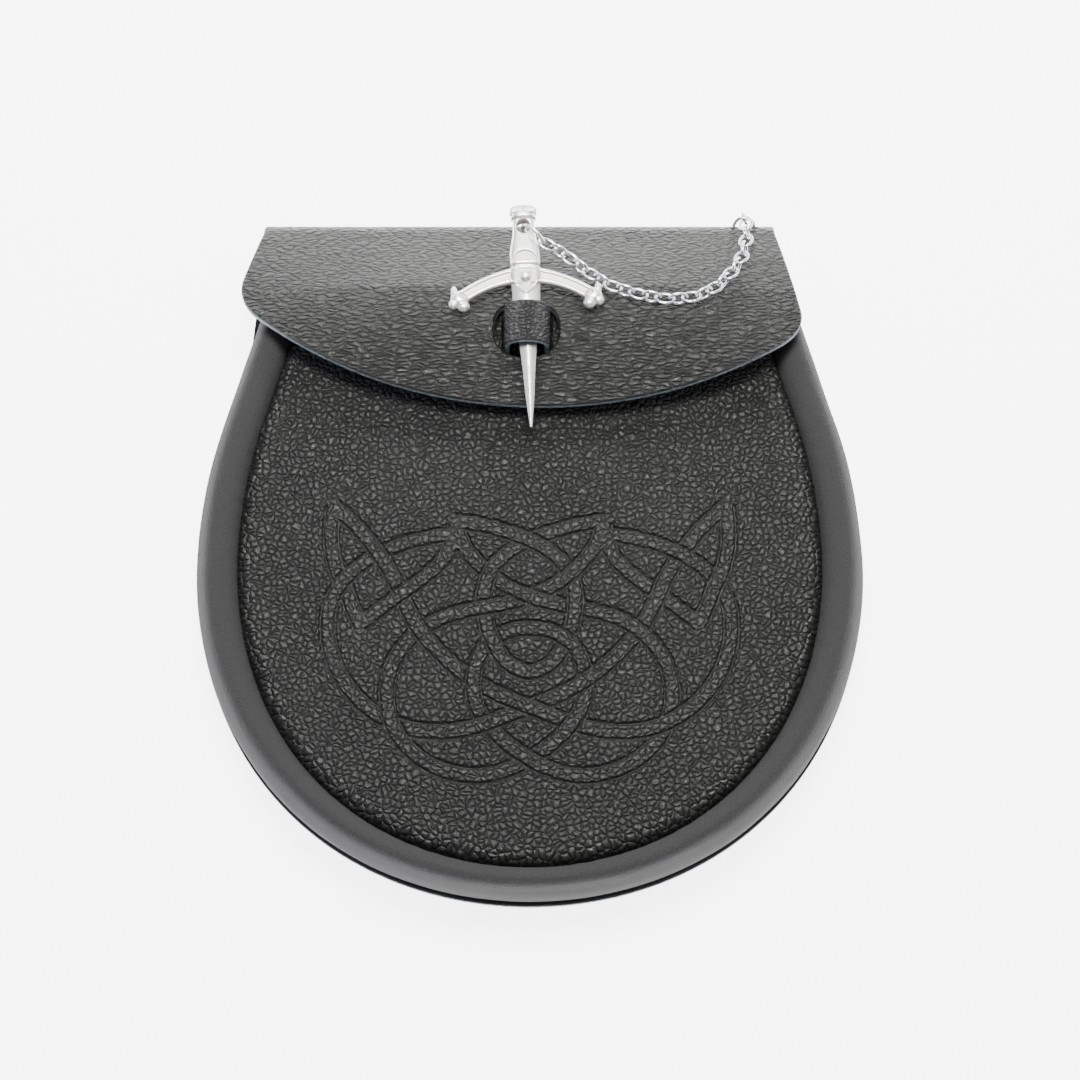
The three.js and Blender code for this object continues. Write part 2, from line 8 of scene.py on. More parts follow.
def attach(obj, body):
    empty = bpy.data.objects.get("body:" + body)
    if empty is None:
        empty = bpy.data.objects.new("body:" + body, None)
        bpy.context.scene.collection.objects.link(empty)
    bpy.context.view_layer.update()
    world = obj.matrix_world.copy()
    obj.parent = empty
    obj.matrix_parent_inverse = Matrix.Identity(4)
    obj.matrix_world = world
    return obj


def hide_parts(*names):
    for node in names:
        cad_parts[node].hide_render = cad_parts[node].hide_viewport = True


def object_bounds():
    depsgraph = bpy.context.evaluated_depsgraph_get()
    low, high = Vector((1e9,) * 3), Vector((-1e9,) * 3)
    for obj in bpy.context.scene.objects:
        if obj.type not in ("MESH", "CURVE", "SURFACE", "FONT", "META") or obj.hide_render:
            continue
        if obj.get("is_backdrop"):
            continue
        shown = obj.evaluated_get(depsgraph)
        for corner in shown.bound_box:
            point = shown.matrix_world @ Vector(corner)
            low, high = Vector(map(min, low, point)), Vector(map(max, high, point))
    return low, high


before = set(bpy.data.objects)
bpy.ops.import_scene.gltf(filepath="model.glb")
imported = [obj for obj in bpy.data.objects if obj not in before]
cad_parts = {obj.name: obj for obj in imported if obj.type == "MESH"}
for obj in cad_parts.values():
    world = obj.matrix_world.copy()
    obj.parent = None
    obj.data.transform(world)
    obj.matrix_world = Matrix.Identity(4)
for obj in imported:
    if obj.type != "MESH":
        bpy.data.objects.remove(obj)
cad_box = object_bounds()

# ---------------------------------------------------------------- camera, light and floor
# The pouch lies on its back on a softly glowing white table. A soft light hangs above and behind
# it, with a long strip low behind and weaker lights at both sides and in front.
# The camera stands below its round bottom and looks steeply down on the front.
MM = 0.001
MIDDLE_Y = 1.0956  # the outline is drawn from its own middle, which lies this far up the frame


def in_frame(points):
    """Drawn millimetres to metres in the frame."""
    return (np.asarray(points, float) + (0, MIDDLE_Y, 0)) * MM


def add_lamp(name, place, aim, size, power, tint):
    lamp = bpy.data.objects.new(name, bpy.data.lights.new(name, "AREA"))
    lamp.data.shape = "RECTANGLE"
    lamp.data.size, lamp.data.size_y = size
    lamp.data.energy = power
    lamp.data.color = tint
    lamp.location = place
    lamp.rotation_euler = (Vector(aim) - Vector(place)).to_track_quat("-Z", "Y").to_euler()
    bpy.context.scene.collection.objects.link(lamp)


aim = Vector(in_frame((2.8, 0, 10)))
climb = math.radians(71)
camera = bpy.data.objects.new("camera", bpy.data.cameras.new("camera"))
camera.data.lens = 83.8
camera.data.sensor_width = 36
camera.location = aim + Vector((0, -math.cos(climb), math.sin(climb))) * 0.7
camera.rotation_euler = (aim - camera.location).to_track_quat("-Z", "Y").to_euler()
bpy.context.scene.collection.objects.link(camera)
bpy.context.scene.camera = camera

add_lamp("overhead", (0.0, 0.34, 0.9), (0, 0, 0), (0.42, 0.32), 21, (1, 1, 0.93))
add_lamp("back", (0.1, 1.1, 0.55), (0, 0, 0), (1.5, 0.14), 11, (1, 1, 0.97))
add_lamp("left", (-0.85, 0.15, 0.5), (0, 0, 0), (0.3, 0.8), 2.4, (0.6, 0.68, 1))
add_lamp("right", (0.85, 0.15, 0.5), (0, 0, 0), (0.3, 0.8), 1.8, (0.9, 0.9, 1))
add_lamp("front", (0.1, -0.8, 0.5), (0, 0, 0), (0.9, 0.3), 1.5, (1, 1, 1))


class Paint:
    """A node's output that can be used like a number."""

    def __init__(self, tree, socket=None):
        self.tree = tree
        self.socket = socket

    def node(self, kind, settings, inputs, output=0):
        made = self.tree.nodes.new(kind)
        for name, value in settings.items():
            if name == "stops":
                for stop, (place, colour) in zip(made.color_ramp.elements, value):
                    stop.position = place
                    stop.color = colour
            else:
                setattr(made, name, value)
        for name, value in inputs.items():
            if isinstance(value, Paint):
                self.tree.links.new(value.socket, made.inputs[name])
            else:
                made.inputs[name].default_value = value
        return Paint(self.tree, made.outputs[output] if made.outputs else None)

    def maths(self, operation, *values):
        return self.node("ShaderNodeMath", {"operation": operation}, dict(enumerate(values)))

    def __add__(self, other):
        return self.maths("ADD", self, other)

    def __sub__(self, other):
        return self.maths("SUBTRACT", self, other)

    def __rsub__(self, other):
        return self.maths("SUBTRACT", other, self)

    def __mul__(self, other):
        return self.maths("MULTIPLY", self, other)

    def __truediv__(self, other):
        return self.maths("DIVIDE", self, other)

    def __pow__(self, other):
        return self.maths("POWER", self, other)

    __radd__ = __add__
    __rmul__ = __mul__

    def between(self, low, high):
        """0 below low, 1 above high, and smooth from one to the other."""
        return self.node("ShaderNodeMapRange", {"interpolation_type": "SMOOTHSTEP"}, {
            "Value": self, "From Min": low, "From Max": high})

    def noise(self, place, scale, detail=2.0):
        return self.node("ShaderNodeTexNoise", {}, {
            "Vector": place, "Scale": scale, "Detail": detail})

    def cells(self, place, scale, feature, output="Distance"):
        return self.node("ShaderNodeTexVoronoi", {
            "voronoi_dimensions": "2D", "feature": feature}, {
            "Vector": place, "Scale": scale}, output)

    def mixed(self, share, first, second):
        return self.node("ShaderNodeMix", {"data_type": "RGBA"}, {
            0: share, 6: first, 7: second}, 2)

    def moved(self, operation, first, second):
        return self.node("ShaderNodeVectorMath", {"operation": operation}, {
            0: first, 1: second})

    def kept(self, name, output="Fac"):
        """A value kept on the mesh's points."""
        return self.node("ShaderNodeAttribute", {"attribute_name": name}, {}, output)


def new_material(name):
    material = bpy.data.materials.new(name)
    material.use_nodes = True
    material.node_tree.nodes.clear()
    return Paint(material.node_tree), material


def finish_with(paint, material, inputs):
    shader = paint.node("ShaderNodeBsdfPrincipled", {}, inputs)
    paint.node("ShaderNodeOutputMaterial", {}, {"Surface": shader})
    return material


paint, table_top = new_material("white table")
speck = paint.noise(paint.node("ShaderNodeTexCoord", {}, {}, "Object"), 300.0)
finish_with(paint, table_top, {
    "Base Color": paint.mixed(speck, (0.93, 0.93, 0.95, 1), (0.95, 0.95, 0.96, 1)),
    "Roughness": 0.9,
    "Emission Color": (1, 0.99, 1, 1),
    "Emission Strength": 5.0})
table_mesh = bpy.data.meshes.new("table")
table_mesh.from_pydata([(-4, -4, 0), (4, -4, 0), (4, 4, 0), (-4, 4, 0)], [], [(0, 1, 2, 3)])
table_mesh.materials.append(table_top)
table = bpy.data.objects.new("table", table_mesh)
bpy.context.scene.collection.objects.link(table)
table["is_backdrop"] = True

world = bpy.data.worlds.new("white room")
bpy.context.scene.world = world
world.use_nodes = True
world.node_tree.nodes["Background"].inputs["Color"].default_value = (0.96, 0.98, 1, 1)
world.node_tree.nodes["Background"].inputs["Strength"].default_value = 0.2

# ---------------------------------------------------------------- back and flap
# One piece of pebbled cowhide: the back panel, folded over at the top and cut to one long curve
# along the flap's lower edge. Punched: a slot for the keeper, two holes for the chain's ring, and
# two pairs of slots in the back for the hanging strap.
HIDE = 2.4
WAIST_Y, WAIST_HALF = -8, 92.2
BOTTOM_DROP, BOTTOM_SWELL = 93, 1.2
FLANK_RADIUS, FLANK_TURN, FLANK_TOP = 150, math.radians(16), 86
CREASE_SIDE, CREASE_BOTTOM = 11.3, 6.4
FOLD_Y, FOLD_RADIUS, FOLD_TURN = 88.5, 8, math.radians(63)
FOLD_MIDDLE = FOLD_RADIUS - HIDE / 2
FLAP_START_Y = FOLD_Y + FOLD_MIDDLE * math.cos(FOLD_TURN)
FLAP_START_Z = FOLD_RADIUS + FOLD_MIDDLE * math.sin(FOLD_TURN)
FLAP_LEVEL = 50.6
FLAP_CROWN, FLAP_CROWN_HALF = 3.6, 80
FLAP_EDGE_X, FLAP_EDGE_Y, FLAP_EDGE_RADIUS = 3, 31.6, 124
FLAP_CORNER = 9
BACK_REVEAL = 0.3
QUARTER = BOTTOM_DROP * math.pi / 2
FLANK_ARC = FLANK_RADIUS * FLANK_TURN
ARC_END_Y = WAIST_Y + FLANK_RADIUS * math.sin(FLANK_TURN)
RIM_LENGTH = QUARTER + FLANK_ARC + (FLANK_TOP - ARC_END_Y) / math.cos(FLANK_TURN)


def bottom_radius(angle):
    down = np.sin(angle) ** 2
    return (WAIST_HALF + (BOTTOM_DROP - WAIST_HALF) * down
            + BOTTOM_SWELL * np.sin(2 * angle) ** 2)


def rim_point(travel):
    """A point of the outline's right half, so far from the middle of the round bottom."""
    if travel < QUARTER:
        angle = (travel / QUARTER - 1) * math.pi / 2
        radius = bottom_radius(angle)
        return np.array([radius * math.cos(angle), WAIST_Y + radius * math.sin(angle)])
    turn = min(travel - QUARTER, FLANK_ARC) / FLANK_RADIUS
    straight = max(travel - QUARTER - FLANK_ARC, 0)
    return np.array([
        WAIST_HALF - FLANK_RADIUS * (1 - math.cos(turn)) - straight * math.sin(turn),
        WAIST_Y + FLANK_RADIUS * math.sin(turn) + straight * math.cos(turn)])


def rim_outward(travel):
    if travel < 0.5:
        return np.array([0, -1])
    along = rim_point(travel + 0.5) - rim_point(travel - 0.5)
    return np.array([along[1], -along[0]]) / np.linalg.norm(along)


def rim_half(y):
    """Half the outline's width at each y above the waist."""
    turn = np.arcsin(np.clip((y - WAIST_Y) / FLANK_RADIUS, 0, math.sin(FLANK_TURN)))
    straight = np.maximum(y - ARC_END_Y, 0)
    return WAIST_HALF - FLANK_RADIUS * (1 - np.cos(turn)) - straight * math.tan(FLANK_TURN)


def crease_inset(point):
    angle = math.atan2(min(point[1] - WAIST_Y, 0), abs(point[0]))
    return CREASE_SIDE + (CREASE_BOTTOM - CREASE_SIDE) * math.sin(angle) ** 2


def flap_middle(x, y):
    """Height of the middle of the flap's leather."""
    run = np.maximum(FLAP_START_Y - y, 0)
    rising = np.minimum(run, FLAP_LEVEL)
    profile = FLAP_START_Z + (rising - rising ** 2 / (2 * FLAP_LEVEL)) / math.tan(FOLD_TURN)
    crown = FLAP_CROWN * (1 - (x / FLAP_CROWN_HALF) ** 2)
    return profile + crown * np.minimum(run / 22, 1) ** 1.5


def flap_span(y):
    below = FLAP_EDGE_Y + FLAP_EDGE_RADIUS - y
    arc = math.sqrt(max(FLAP_EDGE_RADIUS ** 2 - below ** 2, 0))
    sides = []
    for straight in (FLAP_EDGE_X + 77 + 0.24 * (91 - y), 71 + 0.19 * (89 - y) - FLAP_EDGE_X):
        overlap = max(FLAP_CORNER - abs(straight - arc), 0) / FLAP_CORNER
        sides.append(min(straight, arc) - overlap ** 2 * FLAP_CORNER / 4)
    return FLAP_EDGE_X - sides[0], FLAP_EDGE_X + sides[1]


def back_span(y):
    share = min(max((y - 45) / (FOLD_Y - 45), 0), 1)
    widening = share * share * (3 - 2 * share)
    half = rim_half(y) + BACK_REVEAL
    top = flap_span(FLAP_START_Y)
    end = rim_half(FOLD_Y) + BACK_REVEAL
    return [side * (half + (side * edge - end) * widening) for side, edge in zip((-1, 1), top)]


# The hide is drawn flat: x across, and v up the back, round the fold and down the flap.
FOLD_END_V = FOLD_Y + FOLD_MIDDLE * (FOLD_TURN + math.pi / 2)


def back_and_flap_place(flat):
    x, v = flat[:, 0], flat[:, 1]
    angle = np.clip((v - FOLD_Y) / FOLD_MIDDLE, 0, FOLD_TURN + math.pi / 2) - math.pi / 2
    run = np.maximum(v - FOLD_END_V, 0)
    y = np.where(v < FOLD_Y, v, FOLD_Y + FOLD_MIDDLE * np.cos(angle) - run)
    z = np.where(v > FOLD_END_V, flap_middle(x, y), FOLD_RADIUS + FOLD_MIDDLE * np.sin(angle))
    ripple = np.array([noise.noise(Vector((a / 21, b / 21, 0))) for a, b in flat])
    return np.stack([x, y, z + 0.25 * ripple * np.clip((v - FOLD_Y) / 30, 0, 1)], 1)


def evenly(points, step):
    """The same closed line, with its points evenly spaced."""
    points = np.asarray(points, float)
    closed = np.vstack([points, points[:1]])
    along = np.concatenate([[0], np.cumsum(np.linalg.norm(np.diff(closed, axis=0), axis=1))])
    places = np.linspace(0, along[-1], max(int(along[-1] / step), 8) + 1)[:-1]
    return np.stack([np.interp(places, along, closed[:, axis]) for axis in (0, 1)], 1)


def punched(x, y, half_x, half_y, fullness=2, step=0.6):
    """The edge of a hole, with the leather on its left."""
    turns = np.linspace(0, -2 * math.pi, 120, endpoint=False)
    bulge = [np.sign(f) * np.abs(f) ** (2 / fullness) for f in (np.cos(turns), np.sin(turns))]
    return evenly(np.stack([x + half_x * bulge[0], y + half_y * bulge[1]], 1), step)


def offset_loop(loop, distance):
    along = np.roll(loop, -1, 0) - np.roll(loop, 1, 0)
    inward = np.stack([-along[:, 1], along[:, 0]], 1)
    return loop + inward / np.linalg.norm(inward, axis=1)[:, None] * distance


def on_leather(points, loops):
    """Which points lie inside the outline and outside the holes."""
    hit = np.zeros(len(points), bool)
    for loop in loops:
        for start, end in zip(loop, np.roll(loop, -1, 0)):
            spans = (start[1] > points[:, 1]) != (end[1] > points[:, 1])
            if not spans.any():
                continue
            rows = points[spans]
            crossing = start[0] + (rows[:, 1] - start[1]) * (end[0] - start[0]) / (end[1] - start[1])
            hit[spans] ^= rows[:, 0] < crossing
    return hit


def finder(points):
    tree = kdtree.KDTree(len(points))
    for index, point in enumerate(points):
        tree.insert((point[0], point[1], 0), index)
    tree.balance()
    return tree


def distances(points, tree):
    return np.array([tree.find((x, y, 0))[2] for x, y in points])


def scatter(low, high, step):
    """Points in staggered rows, a little uneven, so that no rows show in the surface."""
    dice = np.random.default_rng(7)
    across = np.arange(low[0], high[0], step)
    up = np.arange(low[1], high[1], step * 0.866)
    grid = np.stack(np.meshgrid(across, up), 2)
    grid[1::2, :, 0] += step / 2
    return grid.reshape(-1, 2) + dice.uniform(-0.12, 0.12, (grid.size // 2, 2)) * step


def sparse(points, least):
    """Leaves out each point that lies nearer than this to an earlier one."""
    kept, taken = [], {}
    for point in points:
        cell = (int(point[0] // least), int(point[1] // least))
        near = [q for i in (-1, 0, 1) for j in (-1, 0, 1)
                for q in taken.get((cell[0] + i, cell[1] + j), ())]
        if all((q[0] - point[0]) ** 2 + (q[1] - point[1]) ** 2 > least ** 2 for q in near):
            taken.setdefault(cell, []).append(point)
            kept.append(point)
    return np.array(kept)


def add_piece(name, mesh, materials):
    for material in materials:
        mesh.materials.append(material)
    piece = bpy.data.objects.new(name, mesh)
    bpy.context.scene.collection.objects.link(piece)
    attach(piece, "root")
    return piece


def keep_on_points(mesh, name, kind, values):
    attribute = mesh.attributes.new(name, kind, "POINT")
    field = "vector" if kind == "FLOAT_VECTOR" else "value"
    attribute.data.foreach_set(field, np.asarray(values, np.float32).ravel())


# How far the cut edge is rounded off: distance in from the edge and drop, as shares of the rounding.
ROUNDING = [(0, 1), (0.29, 0.29), (1, 0)]


def cut_hide(name, loops, place, outer, inner, thickness=HIDE, side=1, lines=None,
             depth=0.0, width=0.33, corner=0.45):
    """A piece cut from a hide. side says which way its grain faces; lines are pressed into it."""
    loops = [np.asarray(loop) for loop in loops]
    rings = [[offset_loop(loop, corner * inset) for inset, drop in ROUNDING] for loop in loops]
    edge = finder(np.vstack(loops))
    press = finder(lines) if lines is not None else None
    sides = []
    for scattered in (outer, inner):
        scattered = scattered[on_leather(scattered, loops)]
        scattered = scattered[distances(scattered, edge) > corner + 0.3]
        flat = np.vstack([ring for group in rings for ring in group] + [scattered])
        drops = np.concatenate([np.full(len(ring), corner * drop) for group in rings
                                for ring, (inset, drop) in zip(group, ROUNDING)]
                               + [np.zeros(len(scattered))])
        edges, first = [], 0
        for group in rings:
            for ring in group:
                count = len(ring)
                edges += [(first + i, first + (i + 1) % count) for i in range(count)]
                first += count
        done = geometry.delaunay_2d_cdt([Vector(p) for p in flat], edges, [], 0, 1e-5)
        where = np.array([tuple(p) for p in done[0]])
        came_from = np.array([origin[0] for origin in done[3]])
        drops = drops[came_from]
        order = {origin: index for index, sources in enumerate(done[3]) for origin in sources}
        faces = np.array(done[2])
        faces = faces[on_leather(where[faces].mean(1), loops)]
        sides.append((where, drops, faces, order))
    points, faces, kinds, flats, grain, pressed = [], [], [], [], [], []
    first = 0
    for face_side, (where, drops, triangles, order) in zip((side, -side), sides):
        middle = place(where)
        tilt = 0.05
        across = place(where + (tilt, 0)) - place(where - (tilt, 0))
        up = place(where + (0, tilt)) - place(where - (0, tilt))
        normal = np.cross(across, up)
        normal /= np.linalg.norm(normal, axis=1)[:, None]
        if face_side == side and press is not None:
            away = distances(where, press)
            sink = np.exp(-(away / width) ** 2)
            swell = 0.22 * np.exp(-((away - 2.6 * width) / width) ** 2)
        else:
            sink, swell = np.zeros(len(where)), np.zeros(len(where))
        height = thickness / 2 - drops - depth * (sink - swell)
        points.append(in_frame(middle + normal * (height * face_side)[:, None]))
        turned = triangles if face_side > 0 else triangles[:, ::-1]
        faces.append(turned + first)
        kinds.append(np.full(len(triangles), 0 if face_side == side else 1))
        flats.append(np.column_stack([where, np.zeros(len(where))]))
        grain.append((face_side == side) * np.clip(1 - 1.2 * sink, 0, 1) * (drops < 0.01))
        pressed.append(sink)
        first += len(where)
    lower = len(sides[0][0])
    start = 0
    for group in rings:
        count = len(group[0])
        a = np.array([sides[0][3][start + i] for i in range(count)])
        b = np.array([sides[1][3][start + i] for i in range(count)]) + lower
        wall = np.stack([a, b, np.roll(b, -1), np.roll(a, -1)], 1)
        faces.append(wall if side > 0 else wall[:, ::-1])
        kinds.append(np.full(count, 2))
        start += count * len(ROUNDING)
    mesh = bpy.data.meshes.new(name)
    all_faces = [tuple(int(i) for i in face) for block in faces for face in block]
    mesh.from_pydata(np.vstack(points).tolist(), [], all_faces)
    mesh.polygons.foreach_set("material_index", np.concatenate(kinds).astype(np.int32))
    mesh.polygons.foreach_set("use_smooth", np.ones(len(all_faces), bool))
    keep_on_points(mesh, "flat", "FLOAT_VECTOR", np.vstack(flats))
    keep_on_points(mesh, "grain", "FLOAT", np.concatenate(grain))
    keep_on_points(mesh, "pressed", "FLOAT", np.concatenate(pressed))
    mesh.validate()
    return mesh


def pebbles(art, flat, stretch):
    """Height of the grain, from 0 in its creases to 1 on its pebbles."""
    wander = art.node("ShaderNodeTexNoise", {}, {"Vector": flat, "Scale": 0.35, "Detail": 1.0},
                      "Color")
    bent = art.moved("ADD", flat, art.moved("MULTIPLY", wander, (1.6, 1.6, 0)))
    shaped = art.moved("MULTIPLY", bent, stretch)
    rim = art.cells(shaped, 0.56, "DISTANCE_TO_EDGE")
    fall = 1 - art.maths("MINIMUM", rim / 0.42, 1.0)
    small = art.cells(shaped, 1.15, "DISTANCE_TO_EDGE")
    fold = 1 - art.maths("MINIMUM", small / 0.3, 1.0)
    return 1 - fall ** 1.7 - 0.16 * fold ** 2.0


def raise_grain(piece, stretch, height):
    """Lifts the pebbles in the mesh itself, where the points are close enough to carry them."""
    tree = bpy.data.node_groups.new("grain relief", "GeometryNodeTree")
    tree.interface.new_socket("Mesh", in_out="INPUT", socket_type="NodeSocketGeometry")
    tree.interface.new_socket("Mesh", in_out="OUTPUT", socket_type="NodeSocketGeometry")
    art = Paint(tree)
    given = art.node("NodeGroupInput", {}, {})
    flat = art.node("GeometryNodeInputNamedAttribute", {"data_type": "FLOAT_VECTOR"},
                    {"Name": "flat"})
    grain = art.node("GeometryNodeInputNamedAttribute", {"data_type": "FLOAT"},
                     {"Name": "grain"})
    facing = art.node("GeometryNodeInputNormal", {}, {})
    lift = (pebbles(art, flat, stretch) - 0.7) * grain * height
    offset = art.node("ShaderNodeVectorMath", {"operation": "SCALE"}, {0: facing, "Scale": lift})
    moved = art.node("GeometryNodeSetPosition", {}, {"Geometry": given, "Offset": offset})
    art.node("NodeGroupOutput", {}, {0: moved})
    relief = piece.modifiers.new("grain", "NODES")
    relief.node_group = tree
    apply_modifiers(piece)


def apply_modifiers(piece):
    solid = piece.evaluated_get(bpy.context.evaluated_depsgraph_get())
    mesh = bpy.data.meshes.new_from_object(solid)
    piece.modifiers.clear()
    piece.data = mesh


def pebbled_leather(name, stretch, shade, deep):
    paint, material = new_material(name)
    flat = paint.kept("flat", "Vector")
    pressed = paint.kept("pressed")
    grain = paint.kept("grain")
    height = pebbles(paint, flat, stretch)
    small = paint.cells(flat, 2.1, "DISTANCE_TO_EDGE").between(0.0, 0.25)
    fine = paint.noise(flat, 5.0, 3.0)
    patch = paint.noise(flat, 0.045, 2.0)
    each = paint.node("ShaderNodeSeparateColor", {}, {
        "Color": paint.cells(paint.moved("MULTIPLY", flat, stretch), 0.56, "F1", "Color")})
    full = height * (0.12 + 0.88 * grain) + small * 0.08 + fine * 0.14 + each * 0.2 * grain
    bump = paint.node("ShaderNodeBump", {}, {
        "Strength": 1.0, "Distance": deep, "Height": full})
    # Painted shade: the creases between the pebbles are painted darker than the pebble tops.
    colour = paint.mixed(height, tuple(0.35 * c for c in shade[:3]) + (1,), shade)
    # Painted shade: the pressed lines (the tooled grooves and the back seam's groove) are painted
    # darker still.
    colour = paint.mixed(pressed * 0.7, colour, tuple(0.2 * c for c in shade[:3]) + (1,))
    colour = paint.mixed(patch.between(0.35, 0.7) * 0.25, colour, (0.015, 0.015, 0.014, 1))
    return finish_with(paint, material, {
        "Base Color": colour,
        "Roughness": 0.42 - 0.16 * height + 0.08 * patch + 0.12 * pressed,
        "Specular IOR Level": 0.5,
        "Normal": bump})


def flesh_side():
    """The suede inside of the hide: short loose fibres, dyed black."""
    paint, material = new_material("flesh side")
    flat = paint.kept("flat", "Vector")
    nap = paint.noise(flat, 1.8, 6.0)
    streak = paint.noise(paint.moved("MULTIPLY", flat, (0.2, 1.0, 1.0)), 1.1, 3.0)
    bump = paint.node("ShaderNodeBump", {}, {
        "Strength": 1.0, "Distance": 0.0003, "Height": nap + streak * 0.5})
    return finish_with(paint, material, {
        "Base Color": paint.mixed(nap, (0.012, 0.012, 0.014, 1), (0.035, 0.034, 0.036, 1)),
        "Roughness": 0.93,
        "Normal": bump})


def cut_edge():
    """The raw edge of the hide, where the dye has stopped short and left it blue-grey."""
    paint, material = new_material("cut edge")
    place = paint.node("ShaderNodeTexCoord", {}, {}, "Object")
    fibre = paint.noise(place, 2600.0, 4.0)
    band = paint.noise(paint.moved("MULTIPLY", place, (0.2, 0.2, 1.6)), 1500.0, 3.0)
    bump = paint.node("ShaderNodeBump", {}, {
        "Strength": 1.0, "Distance": 0.00025, "Height": fibre + band})
    pale = paint.mixed(fibre.between(0.35, 0.68), (0.08, 0.11, 0.13, 1), (0.3, 0.38, 0.42, 1))
    return finish_with(paint, material, {
        "Base Color": paint.mixed(band.between(0.4, 0.75) * 0.5, pale, (0.02, 0.025, 0.03, 1)),
        "Roughness": 0.85,
        "Normal": bump})


# The outline, from the middle of the bottom up the right side and round.
rim_rows = [math.sin(a) for a in np.linspace(-math.pi / 2, 0, 60)[1:]]
right_edge, left_edge = [], []
for sine in rim_rows:
    angle = math.asin(sine)
    radius = bottom_radius(angle) + BACK_REVEAL
    point = (radius * math.cos(angle), WAIST_Y + radius * math.sin(angle))
    right_edge.append(point)
    left_edge.append((-point[0], point[1]))
for y in np.linspace(WAIST_Y, FOLD_Y, 60)[1:]:
    left, right = back_span(y)
    right_edge.append((right, y))
    left_edge.append((left, y))
top_span = back_span(FOLD_Y)
flap_top = flap_span(FLAP_START_Y)
for share in np.linspace(0, 1, 12)[1:]:
    v = FOLD_Y + (FOLD_END_V - FOLD_Y) * share
    right_edge.append((top_span[1] + (flap_top[1] - top_span[1]) * share, v))
    left_edge.append((top_span[0] + (flap_top[0] - top_span[0]) * share, v))
for share in np.linspace(0, 1, 90)[1:]:
    y = FLAP_START_Y + (FLAP_EDGE_Y - FLAP_START_Y) * math.sin(share * math.pi / 2)
    left, right = flap_span(y)
    right_edge.append((right, FOLD_END_V + FLAP_START_Y - y))
    left_edge.append((left, FOLD_END_V + FLAP_START_Y - y))
hide_edge = evenly([(0, WAIST_Y - BOTTOM_DROP - BACK_REVEAL)] + right_edge + left_edge[-2::-1], 0.8)


def on_flap(y):
    return FOLD_END_V + FLAP_START_Y - y


RING_X, RING_HALF = 61.8, 3.1
STRAP_SLOTS = [(side * x, 70) for side in (-1, 1) for x in (37, 57)]
hide_holes = [punched(-1, on_flap(54.9), 9.1, 8.8, 2.5)]
hide_holes += [punched(x, y, 2.5, 13, 6) for x, y in STRAP_SLOTS]
hide_holes += [
    punched(RING_X + side * (RING_HALF - 0.1), FOLD_Y + FOLD_MIDDLE * math.radians(130),
            1.2, 1.2, step=0.3) for side in (-1, 1)]

# The gusset's seam runs round the back, close to the rim, in a groove that keeps the thread flush.
SEAM_IN, STITCH = 5.2, 3.4
seam_travel = np.arange(STITCH / 2, RIM_LENGTH - 2, 0.25)
seam_right = np.array([rim_point(t) - rim_outward(t) * SEAM_IN for t in seam_travel])
seam = np.vstack([seam_right, seam_right * (-1, 1)])
seam_rows = np.vstack([
    np.array([rim_point(t) - rim_outward(t) * (SEAM_IN + away) for t in seam_travel[::2]])
    * (side, 1) for away in (-0.9, -0.5, -0.2, 0.2, 0.5, 0.9) for side in (-1, 1)])

low, high = hide_edge.min(0), hide_edge.max(0)
coarse = scatter(low, high, 2.4)
folded = coarse[coarse[:, 1] > FOLD_Y - 3]
fold_rows = scatter((low[0], FOLD_Y - 3), (high[0], FOLD_END_V + 8), 1.2)
back_rows = coarse[(coarse[:, 1] < FOLD_Y - 3) & (distances(coarse, finder(seam)) > 1.6)]
flap_rows = scatter((low[0], FOLD_Y - 3), high, 0.62)
hide_mesh = cut_hide(
    "leather_back_and_flap", [hide_edge] + hide_holes, back_and_flap_place,
    np.vstack([back_rows, seam_rows, flap_rows]),
    np.vstack([coarse[coarse[:, 1] < FOLD_Y - 3], fold_rows,
               folded[folded[:, 1] > FOLD_END_V + 8]]),
    side=-1, lines=seam, depth=0.5, width=0.5)
FLAP_STRETCH = (0.5, 1.45, 1)
FLAP_SHADE = (0.009, 0.009, 0.0085, 1)
flap_leather = pebbled_leather("flap leather", FLAP_STRETCH, FLAP_SHADE, 0.0004)
flesh = flesh_side()
raw_edge = cut_edge()
hide_piece = add_piece("leather_back_and_flap", hide_mesh, [flap_leather, flesh, raw_edge])
raise_grain(hide_piece, FLAP_STRETCH, 0.00012)
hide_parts("back_and_flap")

# ---------------------------------------------------------------- front panel
# A crowned panel of the same hide. Its edge is turned down into the seam with the gusset, and an
# interlace of bands is tooled into the damp leather with a blunt tool, over and under by turns.
PANEL_MOUTH = 66
PANEL_EDGE, PANEL_LIP = 16.4, 4.8
PANEL_DOME, PANEL_REACH = 5.5, 70
PANEL_INSET = 0.95
BAND_HALF = 2.05


def to_crease(flat):
    """How far each point lies inside the crease."""
    x, y = np.abs(flat[:, 0]), flat[:, 1]
    angle = np.arctan2(np.minimum(y - WAIST_Y, 0), x)
    inset = CREASE_SIDE + (CREASE_BOTTOM - CREASE_SIDE) * np.sin(angle) ** 2
    below = bottom_radius(angle) - inset - np.hypot(x, y - WAIST_Y)
    return np.where(y < WAIST_Y, below, rim_half(y) - CREASE_SIDE - x)


def panel_middle(flat):
    inside = np.maximum(to_crease(flat) - PANEL_INSET, 0)
    lip = PANEL_LIP * (1 - np.exp(-inside / 1.35))
    dome = PANEL_DOME * np.sin(math.pi / 2 * np.minimum(inside / PANEL_REACH, 1)) ** 2
    turn = np.arctan2(flat[:, 1] - WAIST_Y, flat[:, 0])
    seat = np.array([noise.noise(Vector((a * 26, 3.3, 0))) for a in turn])
    pucker = 0.55 * seat * np.exp(-inside / 2.2)
    return PANEL_EDGE + lip + dome + pucker - HIDE / 2


def panel_place(flat):
    return np.column_stack([flat, panel_middle(flat)])


